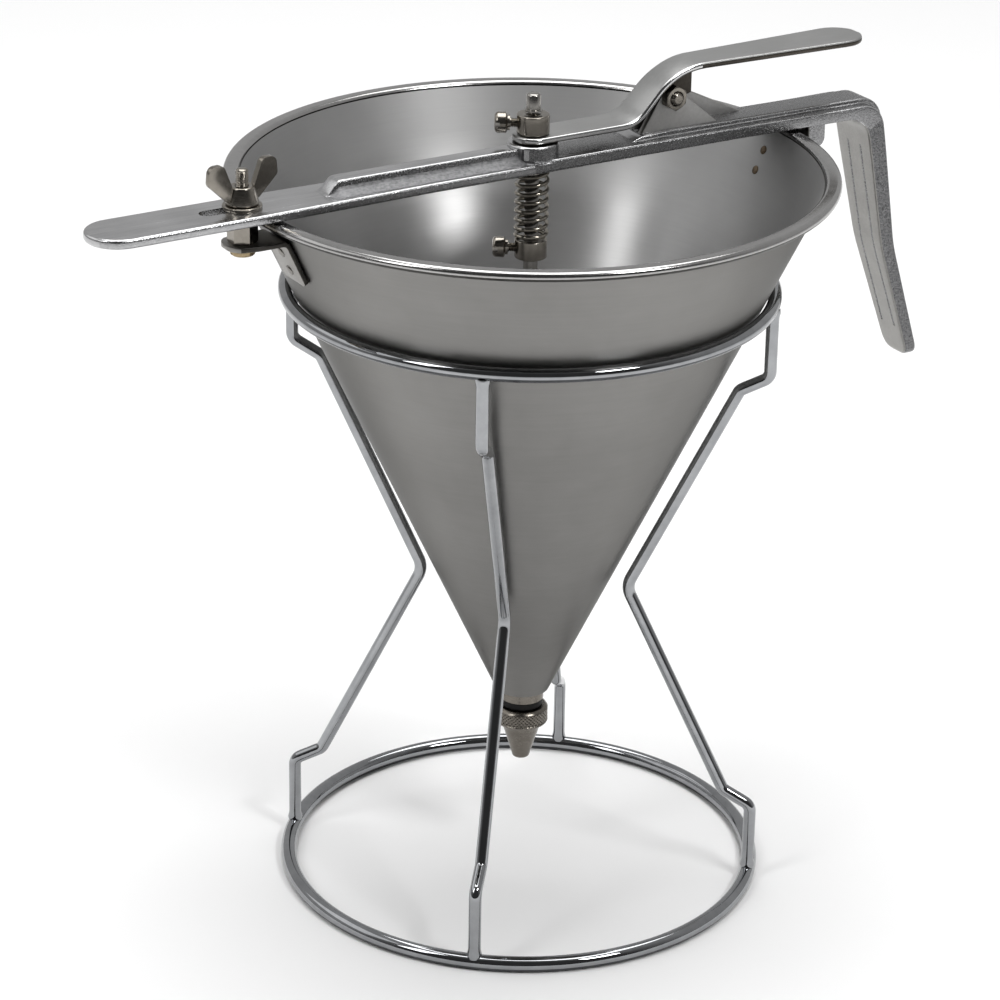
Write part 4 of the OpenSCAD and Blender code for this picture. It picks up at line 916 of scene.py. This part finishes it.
def buildLever(size):
    t = size["thick"]
    slope = math.radians(size["slope"])
    footZ, thumbZ = leverLow.z + t / 2, leverHigh.z - t / 2
    left, right = leverLow.x, leverHigh.x
    footX, thumbX = (
        pivot.x + (math.cos(slope) * (z - pivot.z) - size["rise"]) / math.sin(slope) for z in (footZ, thumbZ)
    )
    shares = size["shares"]
    spans = [shares + [0.3, 0.6, 0.9], [0, 0.5], [0, 0.2, 0.5] + [1 - e for e in reversed(shares[1:])]]
    bends = [(footX, footZ, size["footBend"]), (thumbX, thumbZ, size["thumbBend"])]
    line = evenLine([(left, footZ, 0)] + bends + [(right, thumbZ, 0)], 12, spans)
    foot, neck, thumb = size["footWidth"], size["neckWidth"], size["thumbWidth"]
    thumbEnd = right - thumb / 2  # where its round end starts
    widths = []
    for p in line:
        if p.x < 0:
            w = 2 * math.sqrt(max(0.02, (foot / 2) ** 2 - p.x ** 2))
        elif p.x < footX:
            w = foot
        elif p.x < thumbX:
            w = foot + (neck - foot) * (p.x - footX) / (thumbX - footX)
        elif p.x < thumbEnd:
            w = neck + (thumb - neck) * (p.x - thumbX) / (thumbEnd - thumbX)
        else:
            w = 2 * math.sqrt(max(0.02, (thumb / 2) ** 2 - (p.x - thumbEnd) ** 2))
        gap = max(0.02, min(p.x - left, right - p.x))
        widths.append((w, t - 2 * endShrink(gap, size["edge"])))
    lever = stripLoft("leverPlate", line, widths, size["edge"])

    along, up = Vector((math.cos(slope), math.sin(slope))), Vector((-math.sin(slope), math.cos(slope)))
    hub, er = Vector((pivot.x, pivot.z)), size["earRadius"]
    root = hub + (size["rise"] - t / 4) * up  # inside the strip, above the pivot
    ear = arcPoints(*hub, er, size["slope"] + 180, 270, 8)
    ear += [(hub.x + size["earFront"], hub.y - size["earDrop"]), (hub.x + size["earFront"], thumbZ - t / 4)]
    ear += [root + er * along, root - er * along]
    half = size["earThick"] / 2
    mixIn(lever, plate("earTool", ear, -half, half, 0.4, "y"), "UNION")
    mixIn(lever, drill(size["hole"], footZ - size["holePast"], footZ + size["holePast"]))

    def leverFinish(n, c, area):  # sheared edges polished bright; painted shade on the underside, the ear and the thumb's lower edges
        onEar = abs(c.y) < half + 0.1 and abs(n.z) < 0.3 and c.x > footX
        if n.z < -0.25 or onEar:
            return "leverUnderShade"
        onEdge = abs(n.y) > 0.45 and abs(c.y) > size["edgeFrom"]
        onTip = c.x > right - size["tipLength"] and abs(n.z) < 0.6
        if not (onEdge or onTip):
            return "leverSteel"
        if c.x <= thumbX + size["thumbFrom"]:
            return "polishedEdge"
        return "leverUnderShade" if n.z < 0.35 else "leverSteel"
    paint(lever, ("leverSteel", "polishedEdge", "leverUnderShade"), leverFinish)
    settle(lever, "lever", None, "lever_steel", "lever")


buildLever(leverShape)
print("lever built")

# clamp: bolt, spacer nut, washer and wing nut
clampSet = {
    "boltSize": 4.0, "pitch": 0.7, "depth": 0.38, "threadStep": 0.09, "headSize": 7.7,
    "headCrown": [(1.1, 0), (0.5, 0.15), (0.12, 0.55), (0, 1)],  # inset from its side, height above its end
    "slotWidth": 1.1, "slotDepth": 1.1, "slotHalf": 5.0,
    "spacerFlats": 8.0, "spacerChamfer": 0.4, "spacerPlay": 0.02, "washer": 12.0, "washerPlay": 0.1,
    "wingPlay": 0.06, "bodyBase": 5.2, "bodyTop": 3.5, "bodyHeight": 5.6,
    "wingSpan": 24.0, "wingThick": 2.2, "wingTurn": 5.0, "wingRoot": 2.75, "wingFoot": 1.1, "wingSide": 7.4,
    "wingEdge": 0.75, "wingThin": (1.12, 0.35),
}


def buildClampBolt(size):
    low, high = boxMm("clamp_bolt")
    tabUnder = boxMm("clamp_strap")[1].z - strapShape["thick"]
    r, head = size["boltSize"] / 2, size["headSize"] / 2
    profile = [(nearAxis, low.z)] + [(head - inset, low.z + rise) for inset, rise in size["headCrown"]]
    profile += [(head, tabUnder - 0.25), (head - 0.2, tabUnder), (r, tabUnder)]
    profile += [(r, z) for z in spaced(tabUnder + 0.2, high.z - 0.6, size["threadStep"])]
    profile += [(r - 0.25, high.z - 0.3), (r - 0.7, high.z), (nearAxis, high.z)]
    thread = threadRipple(size["pitch"], size["depth"], tabUnder + 0.3, high.z - 0.55)
    bolt = turned("clampBolt", profile, (clampX, 0, 0), 40, 60, None, thread)
    far, half = size["slotHalf"], size["slotWidth"] / 2
    slot = rectangle(clampX - far, -half, clampX + far, half)
    mixIn(bolt, plate("slotTool", slot, low.z - 1, low.z + size["slotDepth"], 0), "DIFFERENCE", 60)
    def boltFinish(n, c, area):  # the head has a yellower plating
        return "goldenNickel" if c.z < tabUnder else "nickelPlate"
    paint(bolt, ("nickelPlate", "goldenNickel"), boltFinish)
    settle(bolt, "funnel", None, "plated_fittings", "clamp_bolt")


def buildSpacerAndWasher(size):
    r = size["boltSize"] / 2
    low, high = boxMm("clamp_spacer_nut")
    bore, seat = r + size["spacerPlay"], (clampX, 0, low.z)
    spacer = hexPiece("clampSpacer", size["spacerFlats"], high.z - low.z, bore, size["spacerChamfer"], seat)
    settleFitting(spacer, "funnel", "clamp_spacer_nut")
    low, high = boxMm("clamp_washer")
    rim, bore = size["washer"] / 2, r + size["washerPlay"]
    ring = arcRound([(bore, low.z, 0.1), (rim, low.z, 0.2), (rim, high.z, 0.35), (bore, high.z, 0.2)], 4)
    settleFitting(turned("clampWasher", ring, (clampX, 0, 0), 64), "funnel", "clamp_washer")


def buildWingNut(size):
    low, high = boxMm("wing_nut")
    tall = high.z - low.z
    bore = size["boltSize"] / 2 + size["wingPlay"]
    base, top, body = size["bodyBase"], size["bodyTop"], size["bodyHeight"]
    core = arcRound([(bore, 0, 0.2), (base, 0, 0.5), (top + 0.25, body, 0.6), (bore, body, 0.3)], 5)
    nut = turned("clampWingNut", core, (0, 0, 0), 56)
    tip, root, foot = size["wingSpan"] / 2, size["wingRoot"], size["wingFoot"]
    leaf = arcRound([
        (root, foot, 0), (base, foot, 0.8), (tip, size["wingSide"], 2.0), (tip - 0.5, tall, 2.3),
        (tip - 5.3, tall, 2.0), (top, body - 0.9, 1.6), (root, body - 0.9, 0),
    ], 7)
    half = size["wingThick"] / 2
    thickest, thinner = size["wingThin"]
    for flip in (1, -1):
        wing = plate("wingTool", [(flip * u, v) for u, v in leaf], -half, half, size["wingEdge"], "y", 4)
        for v in wing.data.vertices:  # wings thin out to their tips
            v.co.y *= thickest - thinner * min(1, abs(v.co.x) / (tip * mm))
        mixIn(nut, wing, "UNION")
    turn = Matrix.Rotation(math.radians(size["wingTurn"]), 4, "Z")
    nut.data.transform(Matrix.Translation(Vector((clampX, 0, low.z)) * mm) @ turn)
    settleFitting(nut, "wing_nut", "wing_nut")


buildClampBolt(clampSet)
buildSpacerAndWasher(clampSet)
buildWingNut(clampSet)
print("clamp built")

# pivot bolt and nut
pivotSet = {
    "size": 4.0, "flats": 7.0, "pitch": 0.7, "depth": 0.35, "threadLength": 5.2, "threadStep": 0.09,
    "head": 2.6, "headChamfer": 0.2, "nutChamfer": 0.45, "nutPlay": 0.03,
}


def buildPivot(size):
    low, high = boxMm("pivot_bolt")
    nutLow, nutHigh = boxMm("pivot_nut")
    r, flats, headLength, thread = size["size"] / 2, size["flats"], size["head"], size["threadLength"]
    inHead = high.y - low.y - 0.4  # the shank ends inside its head
    profile = [(nearAxis, 0), (r - 0.6, 0), (r - 0.15, 0.35)]
    profile += [(r, z) for z in spaced(0.6, thread, size["threadStep"])]
    profile += [(r, inHead), (nearAxis, inHead)]
    ripple = threadRipple(size["pitch"], size["depth"], 0.55, thread - 0.1)
    shank = turned("shank", profile, (pivot.x, low.y, pivot.z), 36, 60, (0, 1, 0), ripple)
    seat = (pivot.x, high.y - headLength, pivot.z)
    head = hexPiece("head", flats, headLength, 0.3, size["headChamfer"], seat, (0, 1, 0), False)
    settleFitting(joined("pivotBolt", [shank, head]), "funnel", "pivot_bolt")
    seat = (pivot.x, nutHigh.y, pivot.z)
    bore = r + size["nutPlay"]
    nut = hexPiece("pivotNut", flats, nutHigh.y - nutLow.y, bore, size["nutChamfer"], seat, (0, -1, 0))
    settleFitting(nut, "funnel", "pivot_nut")


buildPivot(pivotSet)
print("pivot built")

# plunger: rod, collars and thumb screws
plungerSet = {
    "rod": 4.5, "collar": 10.2, "collarPlay": 0.03, "ringLift": 0.1,
    "ring": [(0, 0), (-0.7, 0.15), (-0.7, 0.8), (0.5, 0.85), (0.5, 1.35), (0, 1.45)],  # groove and ring
    "rodTip": [(0, 0.65), (0.2, 0.25), (0.65, 0)],  # inset from its side, drop from its end
    "screw": 3.0, "screwPlay": 0.06, "pitch": 0.5, "depth": 0.26, "threadStep": 0.08,
    "neck": 2.0, "screwTurn": 148.0,
    "screwHead": 6.6, "headLength": 4.8, "slotWidth": 1.5, "slotDepth": 1.7, "slotHalf": 6.0,
    "headCrown": [(0, 1.1), (0.12, 0.7), (0.45, 0.3), (1.0, 0.05), (1.5, 0)],
}
rodRadius = plungerSet["rod"] / 2
screwWay = Matrix.Rotation(math.radians(plungerSet["screwTurn"]), 4, "Z")


def buildRod(size):
    low, high = boxMm("plunger_rod")
    neck = boxMm("upper_collar")[1].z + size["ringLift"]
    profile = [(nearAxis, low.z), (rodRadius, low.z)]
    profile += [(rodRadius + grow, neck + rise) for grow, rise in size["ring"]]
    profile += [(rodRadius - inset, high.z - drop) for inset, drop in size["rodTip"]]
    profile.append((nearAxis, high.z))
    settle(turned("plungerRod", profile, steps=48), "plunger", "drawnRod", "rod_steel", "plunger_rod")


def buildCollar(name, size):
    low, high = boxMm(name + "_collar")
    mid = Vector((0, 0, (low.z + high.z) / 2))
    out = screwWay @ Vector((1, 0, 0))
    c, s, bore = size["collar"] / 2, size["screw"] / 2, rodRadius + size["collarPlay"]
    ring = arcRound([(bore, low.z, 0.2), (c, low.z, 0.3), (c, high.z, 0.35), (bore, high.z, 0.3)], 4)
    collar = turned(name + "Collar", ring, steps=64)
    mixIn(collar, drill(s + size["screwPlay"], rodRadius + 0.2, c + 3, mid, 32, out))
    settleFitting(collar, "plunger", name + "_collar")

    head = size["screwHead"] / 2
    start = c + size["neck"]
    end = start + size["headLength"]
    outline = [(nearAxis, rodRadius + 0.1)]
    outline += [(s, h) for h in spaced(rodRadius + 0.3, start - 0.3, size["threadStep"])]
    outline += [(s, start), (s + 0.9, start), (s + 0.9, start + 0.7)]  # shoulder under the head
    outline += [(head - 0.3, start + 1.0), (head, start + 1.3)]
    outline += [(head - inset, end - drop) for inset, drop in size["headCrown"]]
    outline.append((nearAxis, end))
    thread = threadRipple(size["pitch"], size["depth"], rodRadius + 0.35, start - 0.35)
    screw = turned(name + "ThumbScrew", outline, mid, 64, 40, out, thread)
    half, far = size["slotWidth"] / 2, size["slotHalf"]
    cut = plate("slotTool", rectangle(-half, -far, half, far), end - size["slotDepth"], end + 2, 0)
    cut.data.transform(Matrix.Translation(mid * mm) @ screwWay @ Matrix.Rotation(math.pi / 2, 4, "Y"))
    mixIn(screw, cut, "DIFFERENCE", 40)
    settleFitting(screw, name + "_thumb_screw", name + "_thumb_screw")


buildRod(plungerSet)
for name in ("upper", "lower"):
    buildCollar(name, plungerSet)
print("plunger built")

# coil spring between the arm and the lower collar
springShape = {"wire": 1.3, "turns": 8.6, "endTurn": 0.8, "endPitch": 1.45, "points": 260}


def buildSpring(size):
    low, high = boxMm("return_spring")
    wire, turns, ends, count = size["wire"], size["turns"], size["endTurn"], size["points"]
    radius = high.y - wire / 2
    free = high.z - low.z - wire - 2 * ends * size["endPitch"]
    pitch = free / (turns - 2 * ends)
    path, z = [], low.z + wire / 2
    for k in range(count + 1):
        turnsDone = turns * k / count
        a = 2 * math.pi * turnsDone
        path.append(Vector((radius * math.cos(a), radius * math.sin(a), z)))
        ending = turnsDone < ends or turnsDone > turns - ends
        z += (size["endPitch"] if ending else pitch) * turns / count
    lift = (high.z - wire / 2 - path[-1].z) / count
    path = [p + Vector((0, 0, lift * k)) for k, p in enumerate(path)]
    spring = tube("returnSpring", path, [wire / 2] * len(path), 14)
    settle(spring, "funnel", "springWire", "spring_steel", "return_spring")
    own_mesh(spring)


buildSpring(springShape)
print("spring built")

# spout, gasket and nozzle
nozzleShape = {
    "knurlCount": 40, "knurlRise": 1.3, "knurlDepth": 0.32, "knurlStep": 0.11, "knurlFade": 0.35,
    "grip": 8.6, "bevel": 1.0, "gripHeight": 6.4, "coneTop": 6.3, "coneDrop": 0.5, "coneShare": 0.93,
    "tip": 2.75,
    "thread": 4.96, "threadMouth": 5.3, "threadFloor": 13.0, "throat": 3.2, "throatTop": 12.5,
    "bore": 2.0, "boreLength": 4.0, "gasket": 6.8, "gasketBore": 4.93, "gasketEdge": 0.7,
}


def buildNozzle(size):
    low, high = boxMm("nozzle")
    top, end = high.z, low.z
    floor = top - size["gripHeight"]
    g, b, cone, tip, bore = (size[k] for k in ("grip", "bevel", "coneTop", "tip", "bore"))
    rows = [(size["thread"], top - 0.4), (size["threadMouth"], top)]
    rows += [(g - b, top), (g - b * 0.4, top - b * 0.35)]
    rows += [(g, z) for z in reversed(spaced(floor + b, top - b, size["knurlStep"]))]
    rows += [(g - b * 0.3, floor + b * 0.45), (cone + 0.3, floor - 0.2)]
    coneStart = Vector((cone, floor - size["coneDrop"]))
    coneEnd = Vector((cone + (tip - cone) * size["coneShare"], end + 1))
    rows += [tuple(coneStart.lerp(coneEnd, k / 6)) for k in range(7)]
    rows += [(tip + 0.12, end + 0.5), (tip, end + 0.2), (tip - 0.2, end)]
    rows += [(bore, end), (bore, end + size["boreLength"])]
    rows += [(size["throat"], end + size["throatTop"]), (size["thread"], end + size["threadFloor"])]
    def knurl(a, h):  # crossed grooves round the grip
        if not floor + b - 0.01 < h < top - b + 0.01:
            return 0
        u, v = size["knurlCount"] * a / (2 * math.pi), h / size["knurlRise"]
        one, two = abs(2 * ((u + v) % 1) - 1), abs(2 * ((u - v) % 1) - 1)
        fade = min(1, (h - floor - b) / size["knurlFade"], (top - b - h) / size["knurlFade"])
        return -size["knurlDepth"] * max(0, fade) * max(one, two)
    nozzle = turned("nozzleTip", rows, steps=320, sharp=30, ripple=knurl)
    settle(nozzle, "nozzle", "wornNickel", "plated_fittings", "nozzle")


def buildGasket(size):
    low, high = boxMm("outlet_gasket")
    rim, bore, edge = size["gasket"], size["gasketBore"], size["gasketEdge"]
    ring = arcRound([(bore, low.z, 0.2), (rim, low.z, edge), (rim, high.z, edge), (bore, high.z, 0.2)], 6)
    settle(turned("outletGasket", ring, steps=72), "funnel", "gasketRubber", "gasket_rubber", "outlet_gasket")


buildNozzle(nozzleShape)
buildGasket(nozzleShape)
for node in ("outlet_spout", "plunger_plug"):  # their solids are right as they are
    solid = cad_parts[node]
    solid.data.materials.clear()
    solid.data.materials.append(finishes["wornNickel"])
print("outlet built")

# camera
cameraSet = {
    "back": 1.07923, "height": 0.5983, "turn": -31.81, "yaw": -0.435, "pitch": 23.561, "roll": 0.971,
    "lens": 132.8, "sensor": 36.0, "sees": 50.0,
}


def setCamera(size):
    yaw, pitch, roll = (math.radians(size[k]) for k in ("yaw", "pitch", "roll"))
    ahead = Vector((math.sin(yaw) * math.cos(pitch), math.cos(yaw) * math.cos(pitch), -math.sin(pitch)))
    right = Vector((math.cos(yaw), -math.sin(yaw), 0))
    up = right.cross(ahead)
    across = math.cos(roll) * right + math.sin(roll) * up
    upright = math.cos(roll) * up - math.sin(roll) * right
    pose = Matrix((across, upright, -ahead)).transposed().to_4x4()
    pose.translation = Vector((0, -size["back"], size["height"]))
    lensData = bpy.data.cameras.new("productCamera")
    lensData.lens = size["lens"]
    lensData.sensor_width = size["sensor"]
    lensData.sensor_fit = "HORIZONTAL"
    lensData.clip_end = size["sees"]
    view = bpy.data.objects.new("productCamera", lensData)
    bpy.context.scene.collection.objects.link(view)
    view.matrix_world = Matrix.Rotation(math.radians(size["turn"]), 4, "Z") @ pose
    bpy.context.scene.camera = view


setCamera(cameraSet)
print("camera set")

# pale floor and soft light
studio = {
    "floorHalf": 6.0, "floorTone": 0.9, "backdrop": 0.3, "front": 0.06, "side": 0.42, "back": 0.5,
    "lights": [  # name, bearing right of straight ahead, height angle, distance, size, power
        ("topSoftbox", 10.0, 80.0, 2.2, (1.9, 1.9), 46.0),
        ("rightSoftbox", 133.5, 44.0, 1.6, (0.42, 0.22), 8.6),
        ("leftSoftbox", -127.5, 40.0, 1.7, (0.36, 0.8), 5.3),
        ("leftFill", -82.0, 36.0, 1.7, (1.4, 0.9), 3.2),
    ],
    "aim": (0, 0, 0.2),
}
studioTurn = Matrix.Rotation(math.radians(cameraSet["turn"]), 3, "Z")  # straight ahead of the camera


def setFloor(size):
    h, tone = size["floorHalf"], size["floorTone"]
    mesh = bpy.data.meshes.new("paleFloor")
    mesh.from_pydata([(u, v, 0) for u, v in rectangle(-h, -h, h, h)], [], [(0, 1, 2, 3)])
    floor = bpy.data.objects.new("paleFloor", mesh)
    bpy.context.scene.collection.objects.link(floor)
    finish, tree, shader = newFinish("paleFloor")
    faint = noise(tree, stretched(tree), 3.0, 2.0)
    tones = toneRamp(tree, faint, [(0.3, grey(tone)), (0.7, grey(tone * 1.01))])
    feed(tree, shader, {"Base Color": tones, "Roughness": 0.9, "Specular IOR Level": 0.1})
    floor.data.materials.append(finish)


def setWorld(size):  # lighter behind the part, darker in front
    world = bpy.data.worlds.new("studioWorld")
    bpy.context.scene.world = world
    world.use_nodes = True
    tree = world.node_tree
    way = add(tree, "ShaderNodeTexCoord").outputs["Generated"]
    ahead = studioTurn @ Vector((0, 1, 0))
    facing = add(tree, "ShaderNodeVectorMath", {0: way, 1: ahead}, operation="DOT_PRODUCT")
    share = spread(tree, facing.outputs["Value"], 0.0, 1.0, -1.0, 1.0)
    stops = [(0.0, "front"), (0.2, "front"), (0.5, "side"), (0.95, "back")]
    tones = toneRamp(tree, share, [(at, grey(size[key])) for at, key in stops])
    cameraRay = add(tree, "ShaderNodeLightPath").outputs["Is Camera Ray"]
    backdrop = (*grey(size["backdrop"]), 1)  # plain backdrop beyond the floor
    colours = {0: cameraRay, 6: tones, 7: backdrop}  # 6 and 7 are the colour sockets, 2 the result
    seen = add(tree, "ShaderNodeMix", colours, data_type="RGBA")
    feed(tree, tree.nodes["Background"], {"Color": seen.outputs[2]})


def setLights(size):
    aim = Vector(size["aim"])
    for name, bearing, rise, away, (wide, tall), power in size["lights"]:
        data = bpy.data.lights.new(name, "AREA")
        data.shape = "RECTANGLE"
        data.size, data.size_y = wide, tall
        data.energy = power
        b, e = math.radians(bearing), math.radians(rise)
        toLamp = Vector((math.cos(e) * math.sin(b), math.cos(e) * math.cos(b), math.sin(e)))
        lamp = bpy.data.objects.new(name, data)
        lamp.location = aim + away * (studioTurn @ toLamp)
        lamp.rotation_euler = (aim - lamp.location).to_track_quat("-Z", "Y").to_euler()
        bpy.context.scene.collection.objects.link(lamp)


setFloor(studio)
setWorld(studio)
setLights(studio)
bpy.context.scene.view_settings.view_transform = "Standard"
bpy.context.scene.view_settings.look = "None"
print("studio set")
